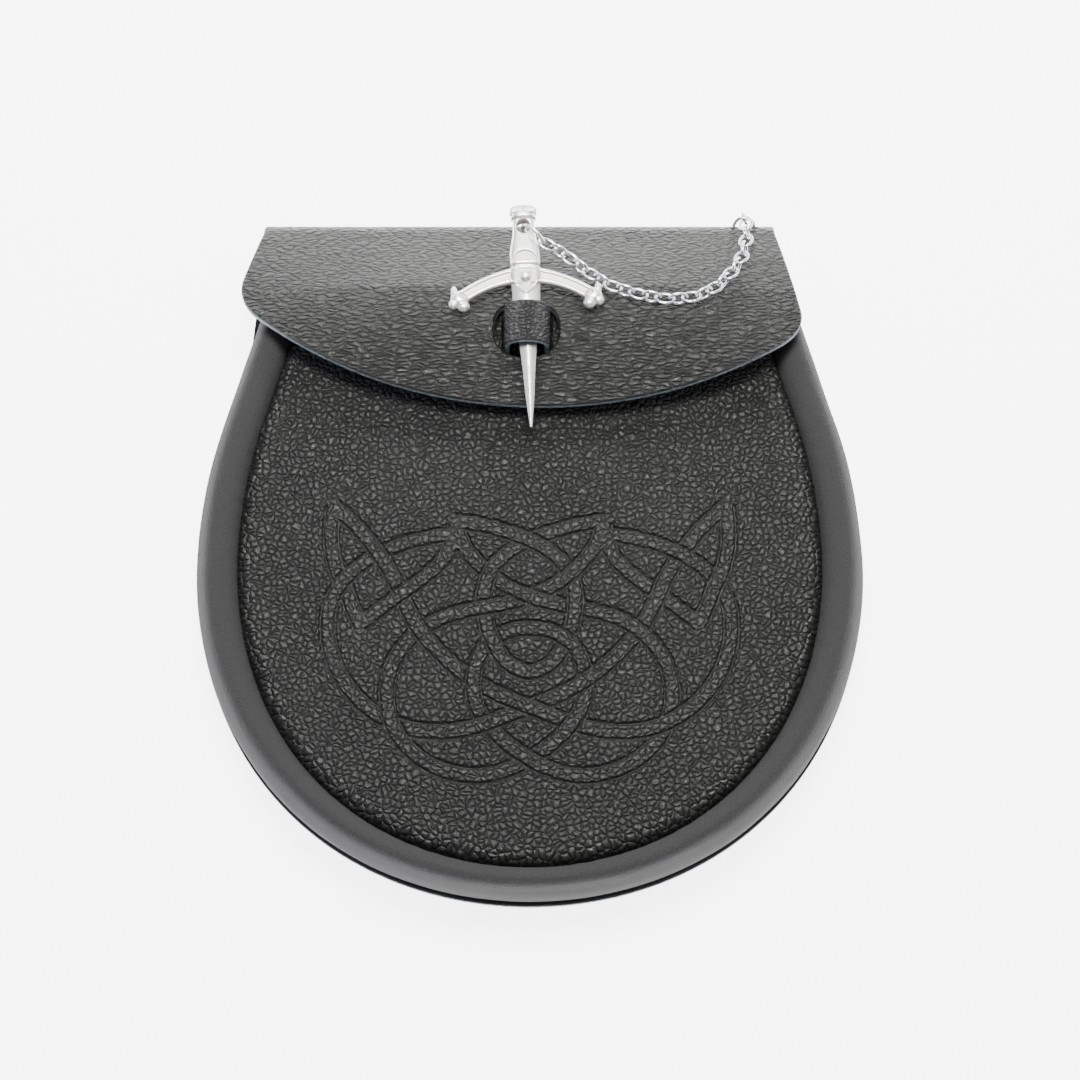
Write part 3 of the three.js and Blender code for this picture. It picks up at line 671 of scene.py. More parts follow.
def smooth_line(points, count):
    """A smooth line through the points, in that many even steps."""
    points = np.asarray(points, float)
    padded = np.vstack([2 * points[0] - points[1], points, 2 * points[-1] - points[-2]])
    dense = [points[:1]]
    for a, b, c, d in zip(padded, padded[1:], padded[2:], padded[3:]):
        knots = [0.0]
        for p, q in ((a, b), (b, c), (c, d)):
            knots.append(knots[-1] + np.linalg.norm(q - p) ** 0.5)
        t = np.linspace(knots[1], knots[2], 21)[1:, None]

        def blend(p, q, low, high):
            return ((high - t) * p + (t - low) * q) / (high - low)

        first = blend(a, b, knots[0], knots[1])
        second = blend(b, c, knots[1], knots[2])
        third = blend(c, d, knots[2], knots[3])
        dense.append(blend(blend(first, second, knots[0], knots[2]),
                           blend(second, third, knots[1], knots[3]), knots[1], knots[2]))
    dense = np.vstack(dense)
    along = np.concatenate([[0], np.cumsum(np.linalg.norm(np.diff(dense, axis=0), axis=1))])
    places = np.linspace(0, along[-1], count + 1)
    return np.stack([np.interp(places, along, column) for column in dense.T], 1)


# The interlace is the same on both sides of the middle. Each band is drawn as runs between points.
OUTER_TIP, SHOULDER_TIP, MIDDLE_TIP = (53.8, 5.6), (20.5, -3.9), (20.5, 0.0)
ELBOW = (45.6, -28.6)
crossing_arm = [OUTER_TIP, (47.1, -1), (41.4, -8.3), (36.6, -16.4), (33.4, -23.7), (29.4, -31),
                (24.5, -36.6), (17.3, -43.1), (8.8, -48.3), (0, -51.9), (-8, -55),
                (-16.5, -57.6), (-25.8, -58.3), (-34, -56.8), (-41.4, -53), (-47.6, -47.2),
                (-52, -40), (-54.3, -31.6), (-53.9, -23), (-50.6, -16.4), (-45.2, -11.4),
                (-39, -8), (-32.6, -5.8), (-26.5, -4.6), (-20.5, -3.9)]
down_to_elbow = [SHOULDER_TIP, (22.6, -10.2), (27.8, -15.6), (35.2, -20.9), (41, -25.2), ELBOW]
up_to_tip = [ELBOW, (47.9, -23.7), (49.9, -18.4), (52.6, -12.4), (54.2, -4), OUTER_TIP]
loop_half = [MIDDLE_TIP, (14.9, -1), (8.4, -2.6), (0.4, -5.5), (-6, -9.4), (-10.4, -14.4),
             (-12.3, -20.6), (-11.9, -27.4), (-9.8, -34.2), (-6, -39.9), (0, -42.6)]
lobe_half = [MIDDLE_TIP, (18.1, -6.9), (13.3, -13.2), (7.2, -18.2), (-0.6, -22), (-9.3, -24.4),
             (-17.6, -25.8), (-25.4, -28.4), (-31.8, -33), (-36.2, -39.2), (-38, -45.8),
             (-37.6, -52.8), (-34.6, -59.8), (-28.8, -65.6), (-21.1, -69.2), (-12.6, -70.1),
             (-4.4, -68), (3.4, -63.6), (9.3, -58.6), (13.3, -53.2), (15, -46.9), (14.2, -40.2),
             (11.2, -34.9), (6.2, -31.7), (0, -30.7)]


def mirrored(points):
    return [(-x, y) for x, y in points]


def run(points):
    length = sum(math.dist(p, q) for p, q in zip(points, points[1:]))
    return smooth_line(points, 2 * round(2 * length))


runs = []
for half in (loop_half, lobe_half):
    whole = run(half + mirrored(half)[-2::-1])
    middle = len(whole) // 2
    runs += [whole[:middle + 1], whole[middle:]]
for points in (crossing_arm, down_to_elbow, up_to_tip):
    runs += [run(points), run(mirrored(points))]


def headings(line):
    along = np.gradient(line, axis=0)
    return along / np.linalg.norm(along, axis=1)[:, None]


def find_crossings():
    """Each place where two bands cross: the two runs, the point, and which run lies over."""
    starts = np.vstack([line[:-1] for line in runs])
    steps = np.vstack([np.diff(line, axis=0) for line in runs])
    owners = np.concatenate([np.full(len(line) - 1, i) for i, line in enumerate(runs)])
    found = []
    for i, line in enumerate(runs):
        later = owners > i
        for start, step in zip(line[:-1], np.diff(line, axis=0)):
            gap = starts[later] - start
            cross = step[0] * steps[later][:, 1] - step[1] * steps[later][:, 0]
            cross = np.where(np.abs(cross) < 1e-9, 1e-9, cross)
            mine = (gap[:, 0] * steps[later][:, 1] - gap[:, 1] * steps[later][:, 0]) / cross
            theirs = (gap[:, 0] * step[1] - gap[:, 1] * step[0]) / cross
            for k in np.flatnonzero((mine >= 0) & (mine < 1) & (theirs >= 0) & (theirs < 1)):
                point = start + step * mine[k]
                other = owners[later][k]
                tips = [runs[r][end] for r in (i, other) for end in (0, -1)]
                if min(np.linalg.norm(tip - point) for tip in tips) < 1:
                    continue
                theirs_step = steps[later][k] * np.sign(cross[k])
                sector = point + 0.4 * (step / np.linalg.norm(step)
                                        + theirs_step / np.linalg.norm(theirs_step))
                ends = starts + steps
                spans = (starts[:, 1] > sector[1]) != (ends[:, 1] > sector[1])
                at = starts[spans, 0] + ((sector[1] - starts[spans, 1])
                                         * steps[spans, 0] / steps[spans, 1])
                shaded = np.count_nonzero(at > sector[0]) % 2 == 1
                found.append((i, other, point, i if shaded else other))
    return found


crossings = find_crossings()
run_finders = [finder(line) for line in runs]
grooves = []
for i, line in enumerate(runs):
    ahead = headings(line)
    for side in (-1, 1):
        across = np.stack([-ahead[:, 1], ahead[:, 0]], 1) * side
        edge = line + across * BAND_HALF
        keep = np.ones(len(edge), bool)
        for j, other in enumerate(run_finders):
            if j == i:
                continue
            near = distances(edge, other) < BAND_HALF - 0.12
            for k in np.flatnonzero(near):
                over = [c for c in crossings if {c[0], c[1]} == {i, j}
                        and np.linalg.norm(c[2] - edge[k]) < 7]
                keep[k] &= bool(over) and over[0][3] == i
        grooves.append(np.column_stack([edge, ahead])[keep])
# At a pointed tip the two outer edges run on until they meet.
for i, line in enumerate(runs):
    for j, other in enumerate(runs[i + 1:], i + 1):
        for end, far in ((0, 0), (0, -1), (-1, 0), (-1, -1)):
            if np.linalg.norm(line[end] - other[far]) > 0.01:
                continue
            ways = []
            for path, tip in ((line, end), (other, far)):
                inner = path[3] if tip == 0 else path[-4]
                ways.append((path[tip] - inner) / np.linalg.norm(path[tip] - inner))
            turn = ways[0][0] * ways[1][1] - ways[0][1] * ways[1][0]
            if abs(turn) < 0.15:
                continue
            sides = [np.array([-w[1], w[0]]) * s for w, s in
                     zip(ways, (-np.sign(turn), np.sign(turn)))]
            starts = [line[end] + side * BAND_HALF for side in sides]
            gap = starts[1] - starts[0]
            reach = (gap[0] * ways[1][1] - gap[1] * ways[1][0]) / turn
            for start, way in zip(starts, ways):
                steps = np.arange(0, min(max(reach, 0), 7), 0.2)[:, None]
                grooves.append(np.column_stack([start + way * steps,
                                                np.tile(way, (len(steps), 1))]))
grooves = np.vstack(grooves)
groove_points, groove_ways = grooves[:, :2], grooves[:, 2:]
groove_across = np.stack([-groove_ways[:, 1], groove_ways[:, 0]], 1)
groove_rows = sparse(np.vstack([
    groove_points[::2] + groove_across[::2] * away
    for away in (0, -0.27, 0.27, -0.56, 0.56, -0.9, 0.9)]), 0.2)

panel_side = []
for travel in np.linspace(0, RIM_LENGTH, 240):
    rim = rim_point(travel)
    point = rim - rim_outward(travel) * (crease_inset(rim) + PANEL_INSET)
    if point[1] < PANEL_MOUTH:
        panel_side.append(tuple(point))
panel_edge = evenly(panel_side + mirrored(panel_side)[:0:-1], 0.8)
KEEPER_X, KEEPER_Y, KEEPER_HALF, KEEPER_LEG = -0.8, 55.1, 6.2, 5.5
KEEPER_HIDE = 1.8
slits = [punched(KEEPER_X + side * KEEPER_LEG, KEEPER_Y, KEEPER_HIDE / 2 + 0.35,
                 KEEPER_HALF + 0.4, 8, 0.5) for side in (-1, 1)]
low, high = panel_edge.min(0), panel_edge.max(0)
plain = scatter(low, high, 0.66)
plain = plain[distances(plain, finder(groove_rows)) > 0.4]
panel_mesh = cut_hide(
    "leather_front_panel", [panel_edge] + slits, panel_place,
    np.vstack([groove_rows, plain]), scatter(low, high, 3),
    lines=groove_points, depth=0.66, width=0.33)
# The bands were burnished as they were tooled, which has flattened their pebbles.
panel_points = np.zeros(3 * len(panel_mesh.vertices))
panel_mesh.attributes["flat"].data.foreach_get("vector", panel_points)
on_band = distances(panel_points.reshape(-1, 3)[:, :2], finder(np.vstack(runs))) < BAND_HALF
panel_grain = np.zeros(len(on_band))
panel_mesh.attributes["grain"].data.foreach_get("value", panel_grain)
panel_mesh.attributes["grain"].data.foreach_set(
    "value", (panel_grain * np.where(on_band, 0.8, 1)).astype(np.float32))
PANEL_STRETCH = (1, 1.1, 1)
panel_leather = pebbled_leather("front leather", PANEL_STRETCH, (0.011, 0.0115, 0.0102, 1), 0.00042)
panel_piece = add_piece("leather_front_panel", panel_mesh, [panel_leather, flesh, raw_edge])
raise_grain(panel_piece, PANEL_STRETCH, 0.00016)
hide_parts("front_panel")

# ---------------------------------------------------------------- gusset
# A strip of smooth, thinner leather runs round the sides and bottom. It is sewn inside the back
# panel's rim, bulges out, and rolls over into the crease where it is sewn to the front panel.
GUSSET_HIDE = 1.6
ROLL_TOP = 22.2
GUSSET_FOOT = HIDE + 0.3 + GUSSET_HIDE / 2
GUSSET_SECTION = [  # inward from the rim, share of the crease inset, height
    (9, 0, 0), (4, 0, 0), (1.3, 0, 2), (0.8, 0, 7), (0.8, 0.1, 12.5),
    (0, 0.46, ROLL_TOP - GUSSET_HIDE / 2 - GUSSET_FOOT), (0, 0.84, 16.9), (0, 1, 13.9),
    (0.2, 1, 11)]
SECTION_STEPS = 54


def gusset_row(travel, side):
    rim, outward = rim_point(travel), rim_outward(travel)
    inset = crease_inset(rim)
    room = flap_middle(76, rim[1]) - HIDE * 0.6 - 0.8 - GUSSET_FOOT
    share = min(room / (ROLL_TOP - GUSSET_FOOT), 1)
    points = []
    for inward, inset_share, height in GUSSET_SECTION:
        x, y = rim - outward * (inward + inset_share * inset)
        points.append((side * x, y, GUSSET_FOOT + height * share))
    return smooth_line(points, SECTION_STEPS)


travels = np.linspace(0, RIM_LENGTH, 250)
signed = np.concatenate([-travels[:0:-1], travels])
rows = np.array([gusset_row(abs(t), 1 if t >= 0 else -1) for t in signed])
along = np.gradient(rows, axis=0)
around = np.gradient(rows, axis=1)
normals = np.cross(around, along)
normals /= np.linalg.norm(normals, axis=2)[:, :, None]
swell = np.zeros(rows.shape[:2])
for i, travel in enumerate(signed):
    for j in range(SECTION_STEPS + 1):
        share = j / SECTION_STEPS
        broad = noise.noise(Vector((travel / 17, share * 4, 5)))
        close = noise.noise(Vector((travel / 3.1, share * 9, 1)))
        near_seam = math.exp(-((share - 0.86) / 0.11) ** 2)
        swell[i, j] = 0.22 * broad * math.sin(math.pi * share) + 0.13 * close * near_seam
columns = SECTION_STEPS + 1
count = len(signed) * columns
points = np.vstack([(rows + normals * (swell + half)[:, :, None]).reshape(-1, 3)
                    for half in (GUSSET_HIDE / 2, -GUSSET_HIDE / 2)])
cell = np.arange(count).reshape(len(signed), columns)
quads = np.stack([cell[:-1, :-1], cell[:-1, 1:], cell[1:, 1:], cell[1:, :-1]], 2).reshape(-1, 4)
border = np.concatenate([cell[0, :], cell[1:, -1], cell[-1, -2::-1], cell[-2:0:-1, 0]])
border_next = np.roll(border, -1)
rim_quads = np.stack([border, border + count, border_next + count, border_next], 1)
faces = np.vstack([quads, quads[:, ::-1] + count, rim_quads])
gusset_mesh = bpy.data.meshes.new("leather_gusset")
gusset_mesh.from_pydata(in_frame(points).tolist(), [], faces.tolist())
gusset_mesh.polygons.foreach_set("use_smooth", np.ones(len(faces), bool))
gusset_mesh.polygons.foreach_set("material_index", np.repeat(
    [0, 1, 2], [len(quads), len(quads), len(rim_quads)]).astype(np.int32))
lengths = np.cumsum(np.linalg.norm(around, axis=2), axis=1)
strip = np.stack([np.repeat(signed[:, None], columns, 1), lengths, np.zeros_like(lengths)], 2)
keep_on_points(gusset_mesh, "flat", "FLOAT_VECTOR", np.tile(strip.reshape(-1, 3), (2, 1)))


def smooth_leather(name, shade):
    paint, material = new_material(name)
    flat = paint.kept("flat", "Vector")
    pores = paint.cells(flat, 3.0, "F1").between(0.0, 0.35)
    fine = paint.noise(flat, 3.5, 4.0)
    drawn = paint.noise(paint.moved("MULTIPLY", flat, (0.9, 0.3, 1.0)), 0.5, 3.0)
    patch = paint.noise(flat, 0.06, 2.0)
    bump = paint.node("ShaderNodeBump", {}, {
        "Strength": 1.0, "Distance": 0.00006,
        "Height": pores * 0.25 + fine * 0.7 + drawn * 2.2})
    tint = paint.mixed(fine, shade, tuple(1.7 * c for c in shade[:3]) + (1,))
    return finish_with(paint, material, {
        "Base Color": paint.mixed(patch.between(0.3, 0.7) * 0.5, tint, (0.02, 0.021, 0.03, 1)),
        "Roughness": 0.23 + 0.1 * patch + 0.06 * fine,
        "Specular IOR Level": 0.26,
        "Normal": bump})


roll_leather = smooth_leather("gusset leather", (0.006, 0.0062, 0.0075, 1))
gusset_piece = add_piece("leather_gusset", gusset_mesh, [roll_leather, flesh, raw_edge])
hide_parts("gusset")

# ---------------------------------------------------------------- back stitching
# Waxed black thread in a lock stitch, seen on the back where it holds the gusset to the back
# panel. Each stitch lies in the pressed groove and dips into the leather at both ends.
THREAD = 0.32


def skin(rings):
    """A closed skin over a row of rings of points."""
    rings = np.asarray(rings, float)
    count, around = rings.shape[:2]
    cell = np.arange(count * around).reshape(count, around)
    after = np.roll(cell, -1, axis=1)
    faces = np.stack([cell[:-1], after[:-1], after[1:], cell[1:]], 2).reshape(-1, 4).tolist()
    faces += [[count * around, b, a] for a, b in zip(cell[0], after[0])]
    faces += [[count * around + 1, a, b] for a, b in zip(cell[-1], after[-1])]
    return np.vstack([rings.reshape(-1, 3), rings[0].mean(0), rings[-1].mean(0)]), faces


def joined(name, skins):
    """One mesh from many skins."""
    points, faces, used = [], [], 0
    for skin_points, skin_faces in skins:
        points.append(skin_points)
        faces += [[used + i for i in face] for face in skin_faces]
        used += len(skin_points)
    mesh = bpy.data.meshes.new(name)
    mesh.from_pydata(np.vstack(points).tolist(), [], faces)
    mesh.polygons.foreach_set("use_smooth", np.ones(len(faces), bool))
    return mesh


def thread_material():
    paint, material = new_material("waxed thread")
    place = paint.node("ShaderNodeTexCoord", {}, {}, "Object")
    twist = paint.noise(place, 4200.0, 3.0)
    bump = paint.node("ShaderNodeBump", {}, {
        "Strength": 1.0, "Distance": 0.0001, "Height": twist})
    return finish_with(paint, material, {
        "Base Color": paint.mixed(twist, (0.012, 0.012, 0.013, 1), (0.05, 0.05, 0.052, 1)),
        "Roughness": 0.5 + 0.2 * twist,
        "Normal": bump})


stitches = []
turns = np.linspace(0, 2 * math.pi, 10, endpoint=False)
for start in np.arange(STITCH / 2, RIM_LENGTH - 2 - STITCH, STITCH):
    for side in (-1, 1):
        rings = []
        for share in np.linspace(0, 1, 9):
            travel = start + 0.25 + (STITCH - 0.5) * share
            out = rim_outward(travel)
            middle = rim_point(travel) - out * SEAM_IN
            arch = math.sin(math.pi * share) ** 0.6
            twist = 1 + 0.1 * math.cos(6 * math.pi * share)
            height = 0.75 - 0.32 * arch
            reach = THREAD * twist * (0.75 + 0.25 * arch)
            rings.append([(side * (middle[0] + out[0] * reach * math.cos(a)),
                           middle[1] + out[1] * reach * math.cos(a),
                           height + reach * math.sin(a)) for a in turns])
        stitches.append(skin(rings))
stitch_mesh = joined("back_stitching", [(in_frame(p), f) for p, f in stitches])
add_piece("back_stitching", stitch_mesh, [thread_material()])

# ---------------------------------------------------------------- keeper
# A narrow strap of the same hide. Both ends pass through slits in the front panel and are
# glued flat inside; the loop stands up through the flap's slot to hold the pin.
KEEPER_SPRING, KEEPER_RISE, KEEPER_SLOPE = 32.2, 3.9, -0.05
keeper_seat = panel_middle(np.array([(0.0, KEEPER_Y)]))[0] - HIDE / 2 - 0.3 - KEEPER_HIDE / 2
KEEPER_FOOT = [(12, keeper_seat - 0.5), (8.5, keeper_seat), (6, keeper_seat + 0.5),
               (KEEPER_LEG, keeper_seat + 1.6), (KEEPER_LEG, keeper_seat + 5)]
keeper_arch = [(KEEPER_LEG * math.cos(a), KEEPER_SPRING + KEEPER_RISE * math.sin(a))
               for a in np.linspace(0, math.pi, 15)]
keeper_line = smooth_line(
    mirrored(KEEPER_FOOT) + keeper_arch[::-1] + KEEPER_FOOT[::-1], 400)
keeper_along = np.concatenate([[0], np.cumsum(np.linalg.norm(np.diff(keeper_line, axis=0),
                                                             axis=1))])
KEEPER_LENGTH = keeper_along[-1]


def keeper_place(flat):
    x = np.interp(flat[:, 0], keeper_along, keeper_line[:, 0])
    z = np.interp(flat[:, 0], keeper_along, keeper_line[:, 1])
    sag = 0.15 * np.sin(math.pi * flat[:, 0] / KEEPER_LENGTH) * (flat[:, 1] / KEEPER_HALF) ** 2
    return np.column_stack([KEEPER_X + x, KEEPER_Y + flat[:, 1],
                            z + KEEPER_SLOPE * flat[:, 1] - sag])


STRAP_CORNER = 1.2
far, high_side = KEEPER_LENGTH - STRAP_CORNER, KEEPER_HALF - STRAP_CORNER
strap_corners = [(far, -high_side, -90), (far, high_side, 0),
                 (STRAP_CORNER, high_side, 90), (STRAP_CORNER, -high_side, 180)]
strap_edge = evenly([
    (s + STRAP_CORNER * math.cos(math.radians(turn + a)),
     v + STRAP_CORNER * math.sin(math.radians(turn + a)))
    for s, v, turn in strap_corners for a in range(0, 91, 15)], 0.35)
strap_mesh = cut_hide("leather_keeper", [strap_edge], keeper_place,
                      scatter((0, -KEEPER_HALF), (KEEPER_LENGTH, KEEPER_HALF), 0.4),
                      scatter((0, -KEEPER_HALF), (KEEPER_LENGTH, KEEPER_HALF), 0.8),
                      thickness=KEEPER_HIDE, corner=0.3)
STRAP_STRETCH = (1.2, 1.6, 1)
strap_leather = pebbled_leather("keeper leather", STRAP_STRETCH, (0.01, 0.01, 0.013, 1),
                                0.0003)
strap_piece = add_piece("leather_keeper", strap_mesh, [strap_leather, flesh, raw_edge])
raise_grain(strap_piece, STRAP_STRETCH, 0.00009)
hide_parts("keeper_loop")

# ---------------------------------------------------------------- dagger pin
# One small casting in a pale silvery alloy, tumbled to a satin finish: pommel with a milled rim,
# pierced grip, collar, curved guard with a shield and boss, and a tapering ridged blade.
PIN_TIP, PIN_LEAN, PIN_TILT = (0.4, 23.8, 35.3), 2.0, 5.0
GRAIN_OF_CAST = 0.16
BLADE = [(0, 0.35, 0.35), (8.2, 1.15, 0.75), (17.5, 1.8, 1), (25.6, 2.5, 1.2), (35, 3.5, 1.4),
         (41, 3.95, 1.5), (45.4, 4.05, 1.5)]
GRIP = [(48.5, 3.9, 1.7), (50.6, 4.1, 1.95), (53.2, 4.3, 2.05), (55.5, 4.1, 1.95),
        (58.5, 3.55, 1.65), (61, 3.2, 1.5), (65.6, 3.1, 1.55)]
GUARD = [(0, 47.5), (9.6, 46.9), (18.3, 40.5)]


def oval(half_x, half_z, power, count=48):
    turns = np.linspace(0, 2 * math.pi, count, endpoint=False)
    cos, sin = np.cos(turns), np.sin(turns)
    return (half_x * np.sign(cos) * np.abs(cos) ** (2 / power),
            half_z * np.sign(sin) * np.abs(sin) ** (2 / power))


def upright(sections, power, steps):
    """A body along the pin, from its half widths and half thicknesses."""
    rings = []
    for y, half_x, half_z in smooth_line(sections, steps):
        x, z = oval(half_x, half_z, power)
        rings.append(np.column_stack([x, np.full_like(x, y), z]))
    return skin(rings)


def bead(place, halves, power=2.0):
    rings = []
    for rise in np.linspace(-math.pi / 2, math.pi / 2, 22)[1:-1]:
        x, z = oval(halves[0] * math.cos(rise) ** (2 / power), halves[2]
                    * math.cos(rise) ** (2 / power), power)
        y = np.full_like(x, halves[1] * math.copysign(abs(math.sin(rise)) ** (2 / power), rise))
        rings.append(np.column_stack([x, y, z]) + place)
    return skin(rings)


def guard_at(share):
    a, b, c = (np.array(p, float) for p in GUARD)
    return (1 - share) ** 2 * a + 2 * share * (1 - share) * b + share ** 2 * c


def guard_arm(side):
    rings = []
    shares = np.linspace(0, 1, 40)
    middles = np.array([guard_at(s) for s in shares])
    for share, middle, ahead in zip(shares, middles, headings(middles)):
        x, z = oval(2.0 + 0.9 * (1 - share) ** 3, 1.15 - 0.25 * share, 3.4)
        rings.append(np.column_stack([side * (middle[0] - ahead[1] * x),
                                      middle[1] + ahead[0] * x, z]))
    return skin(rings)


grip_mesh = joined("grip", [upright(GRIP, 2.7, 60)])
turns = np.linspace(0, 2 * math.pi, 40, endpoint=False)
drill_mesh = joined("drill", [skin([np.column_stack([
    2.05 * np.cos(turns) - 0.1, 62.6 + 2.35 * np.sin(turns), np.full(40, z)])
    for z in (-4, 4)])])
grip = bpy.data.objects.new("grip", grip_mesh)
drill = bpy.data.objects.new("drill", drill_mesh)
for body in (grip, drill):
    bpy.context.scene.collection.objects.link(body)
cut = grip.modifiers.new("pierced", "BOOLEAN")
cut.object = drill
cut.solver = "EXACT"
bpy.context.view_layer.update()
apply_modifiers(grip)
grip_points = np.zeros(3 * len(grip.data.vertices))
grip.data.vertices.foreach_get("co", grip_points)
bodies = [(grip_points.reshape(-1, 3), [list(p.vertices) for p in grip.data.polygons])]
for body in (grip, drill):
    bpy.data.objects.remove(body)
bodies += [
    upright(BLADE, 1.35, 110),
    upright([(50, 4.15, 2.2), (50.3, 4.3, 2.4), (51, 4.3, 2.4), (51.3, 4.15, 2.2)], 3.2, 12),
    upright([(65.2, 3.1, 1.9), (65.5, 3.45, 2.3), (66.2, 3.5, 2.4), (66.5, 3.2, 2.1)], 2.4, 10),
    upright([(66.4, 3.3, 2.1), (67, 3.7, 2.5), (68.5, 3.8, 2.55), (69.2, 3.4, 2.2)], 2.4, 16),
    bead((0, 47.2, 0), (4.1, 3.4, 1.75), 3.6),
    bead((0, 46.3, 1.45), (1.55, 1.55, 1.1))]
for side in (-1, 1):
    bodies.append(guard_arm(side))
    bodies += [bead((side * x, y, 0), halves) for x, y, halves in (
        (18.6, 40.3, (2.6, 2.5, 1.65)), (17.5, 37.9, (1.75, 1.6, 1.4)),
        (20.3, 38.7, (1.4, 1.5, 1.3)), (20.1, 42.4, (0.95, 2.1, 1.05)))]

pin_mesh = joined("dagger_pin_cast", bodies)
pin = add_piece("dagger_pin_cast", pin_mesh, [])
remesh = pin.modifiers.new("cast", "REMESH")
remesh.mode = "VOXEL"
remesh.voxel_size = GRAIN_OF_CAST
tumbled = pin.modifiers.new("tumbled", "SMOOTH")
tumbled.factor, tumbled.iterations = 0.5, 3
bpy.context.view_layer.update()
apply_modifiers(pin)
count = len(pin.data.vertices)
cast = np.zeros(3 * count)
pin.data.vertices.foreach_get("co", cast)
cast = cast.reshape(-1, 3)


def soft(value, low, high):
    t = np.clip((value - low) / (high - low), 0, 1)
    return t * t * (3 - 2 * t)


x, y, z = cast.T
front = soft(z, 0.3, 0.8)
across = np.abs(x)
arm_line = np.array([guard_at(s) for s in np.linspace(0.16, 0.97, 120)])
arm_gap = distances(np.column_stack([across, y]), finder(arm_line))
arm_half = np.interp(across, [0, 8, 18], [2.5, 2.1, 1.8])
channel = front * (1 - soft(arm_gap, 0.36 * arm_half, 0.62 * arm_half)) * soft(across, 3.6, 4.6)
arch = 50.9 + 3.9 * np.sqrt(np.clip(1 - (x / 3.7) ** 2, 0, 1))
crescent = front * soft(y, 51.2, 51.6) * (1 - soft(y, arch - 0.5, arch))
shield_edge = 41.2 + (44.9 - 41.2) * across / 4.1
off_edge = (y - shield_edge) * 0.74
ridge = front * np.exp(-(off_edge / 0.42) ** 2) * (1 - soft(across, 3.9, 4.5)) * (y < 45.6)
inside = front * soft(off_edge, 0.5, 0.8) * (1 - soft(y, 48.4, 48.9)) * (across < 4.2)
off_boss = soft(np.hypot(x, y - 46.3), 1.5, 1.8)
ridge_top = front * np.exp(-((y - 49.2) / 0.5) ** 2) * (1 - soft(across, 3.9, 4.5))
cast[:, 2] += -0.42 * channel - 0.5 * crescent + 0.32 * ridge + 0.2 * ridge_top
rough_cast = np.array([noise.noise(Vector(p)) for p in cast * (2.6, 2.6, 2.6)])
cast[:, 2] += inside * off_boss * (0.07 * rough_cast - 0.12) + 0.03 * rough_cast * front
turn = np.arctan2(z / 2.45, x / 3.7)
milled = soft(y, 66.8, 67.2) * (1 - soft(y, 68.5, 68.9))
milled = milled * soft(across / 3.7 + np.abs(z) / 2.5, 0.7, 0.9)
MILLS = 34
cast[:, 0] *= 1 + 0.022 * milled * np.cos(MILLS * turn)
cast[:, 2] *= 1 + 0.04 * milled * np.cos(MILLS * turn)
# Painted shade: the channels, crescent and shield hollows and the whole back half of the pin are
# marked to be painted darker and warmer.
shaded_hollows_and_back = np.clip(channel * 0.7 + crescent * 0.9 + inside * off_boss * 0.9
                 + (1 - soft(z, -0.6, 0.9)) * 0.9, 0, 1)
keep_on_points(pin.data, "shaded_hollows_and_back", "FLOAT", shaded_hollows_and_back)
keep_on_points(pin.data, "flat", "FLOAT_VECTOR", cast)
laid = (Matrix.Translation(PIN_TIP) @ Matrix.Rotation(-math.radians(PIN_TILT), 4, "X")
        @ Matrix.Rotation(math.radians(PIN_LEAN), 4, "Z"))
laid = np.array(laid)
pin.data.vertices.foreach_set(
    "co", in_frame(cast @ laid[:3, :3].T + laid[:3, 3]).astype(np.float32).ravel())
pin.data.update()
pin.data.polygons.foreach_set("use_smooth", np.ones(len(pin.data.polygons), bool))


def cast_silver():
    paint, material = new_material("satin cast silver")
    flat = paint.kept("flat", "Vector")
    shaded_hollows_and_back = paint.kept("shaded_hollows_and_back")
    sand = paint.noise(flat, 6.0, 4.0)
    pits = paint.cells(flat, 4.0, "F1").between(0.0, 0.3)
    scuff = paint.noise(paint.moved("MULTIPLY", flat, (3.0, 0.4, 1.0)), 2.2, 3.0)
    bump = paint.node("ShaderNodeBump", {}, {
        "Strength": 1.0, "Distance": 0.00003,
        "Height": sand * (0.7 + shaded_hollows_and_back) + pits * 0.4 + scuff * 0.4})
    return finish_with(paint, material, {
        # Painted shade: the base colour turns from pale silver to warm beige in the hollows and on
        # the back.
        "Base Color": paint.mixed(shaded_hollows_and_back * (0.6 + 0.4 * sand), (0.94, 0.93, 0.9, 1),
                                  (0.56, 0.51, 0.43, 1)),
        "Metallic": 0.92,
        "Roughness": 0.3 + 0.2 * shaded_hollows_and_back + 0.12 * scuff,
        "Normal": bump})


pin.data.materials.clear()
pin.data.materials.append(cast_silver())
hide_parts("dagger_pin")

# ---------------------------------------------------------------- rings and chain
# Oval links of nickelled steel wire, each bent round and butted shut, run from a jump ring in
# the pin's pierced grip to a last ring threaded through two holes in the leather at the fold.


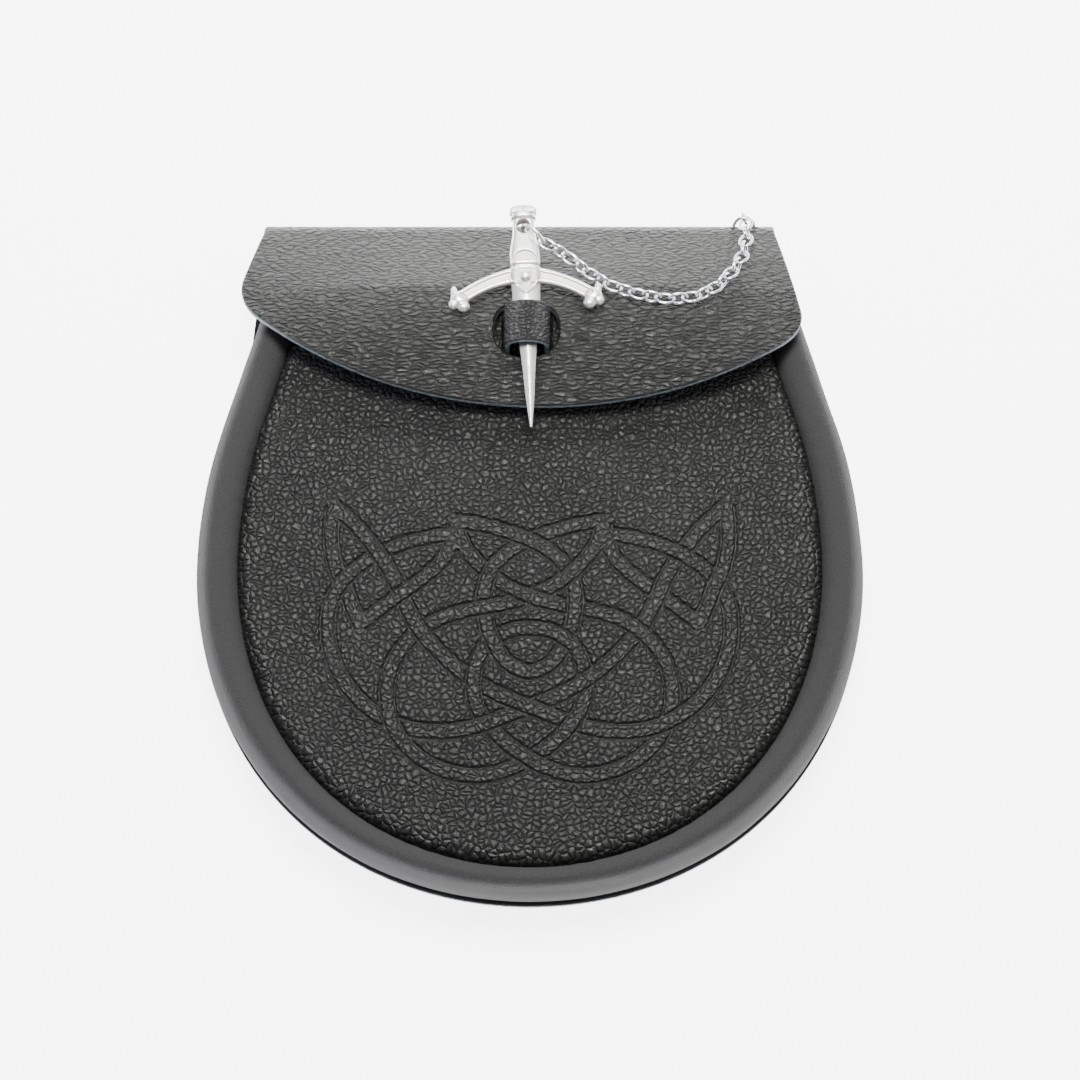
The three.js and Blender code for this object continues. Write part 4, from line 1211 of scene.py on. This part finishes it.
def wire_loop(name, node, wire, metal):
    """A closed loop of wire in the place of one loop of the frame."""
    solid = bpy.data.objects[node]
    points = np.zeros(3 * len(solid.data.vertices))
    solid.data.vertices.foreach_get("co", points)
    turned = np.array(solid.matrix_world)
    points = points.reshape(-1, 3) @ turned[:3, :3].T + turned[:3, 3]
    middle = (points.min(0) + points.max(0)) / 2
    _, _, axes = np.linalg.svd(points - points.mean(0), full_matrices=False)
    spread = (points - middle) @ axes.T
    middle = middle + axes.T @ ((spread.max(0) + spread.min(0)) / 2)
    reach = (spread.max(0) - spread.min(0)) / 2 - wire / 2 * MM
    steps, sides = 72, 14
    turns = np.linspace(0, 2 * math.pi, steps + 1)[:-1]
    around = np.linspace(0, 2 * math.pi, sides + 1)[:-1]
    line = np.column_stack([reach[0] * np.cos(turns), reach[1] * np.sin(turns)])
    ahead = np.roll(line, -1, axis=0) - np.roll(line, 1, axis=0)
    ahead /= np.linalg.norm(ahead, axis=1)[:, None]
    out = np.column_stack([ahead[:, 1], -ahead[:, 0]])
    butt = 1 - 0.14 * np.exp(-((turns - math.pi / 2) / 0.05) ** 2)
    half = wire / 2 * MM * butt
    rings = np.zeros((steps, sides, 3))
    rings[:, :, :2] = (line[:, None] + out[:, None] * half[:, None, None]
                       * np.cos(around)[None, :, None])
    rings[:, :, 2] = half[:, None] * np.sin(around)[None]
    cell = np.arange(steps * sides).reshape(steps, sides)
    below, beside = np.roll(cell, -1, axis=0), np.roll(cell, -1, axis=1)
    faces = np.stack([cell, below, np.roll(below, -1, axis=1), beside], 2).reshape(-1, 4)
    mesh = bpy.data.meshes.new(name)
    mesh.from_pydata((rings.reshape(-1, 3) @ axes + middle).tolist(), [], faces.tolist())
    mesh.polygons.foreach_set("use_smooth", np.ones(len(faces), bool))
    if np.linalg.det(axes) < 0:
        mesh.flip_normals()
    piece = add_piece(name, mesh, [metal])
    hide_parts(node)


def polished_wire(name, shade, roughness):
    paint, material = new_material(name)
    place = paint.node("ShaderNodeTexCoord", {}, {}, "Object")
    drawn = paint.noise(place, 1500.0, 3.0)
    haze = paint.noise(place, 260.0, 2.0)
    bump = paint.node("ShaderNodeBump", {}, {
        "Strength": 1.0, "Distance": 0.00002, "Height": drawn})
    return finish_with(paint, material, {
        "Base Color": paint.mixed(haze, shade, tuple(0.9 * c for c in shade[:3]) + (1,)),
        "Metallic": 1.0,
        "Roughness": roughness + 0.12 * haze + 0.05 * drawn,
        "Normal": bump})


nickel = polished_wire("nickelled wire", (0.86, 0.86, 0.91, 1), 0.1)
pale_wire = polished_wire("jump ring wire", (0.93, 0.9, 0.86, 1), 0.22)
wire_loop("grip_ring_wire", "grip_ring", 1.1, pale_wire)
wire_loop("fold_ring_wire", "fold_ring", 1.0, nickel)
for index in range(1, 25):
    wire_loop(f"chain_link_{index:02d}", f"link_{index:02d}", 0.86, nickel)

# ---------------------------------------------------------------- size
(cad_low, cad_high), (low, high) = cad_box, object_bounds()
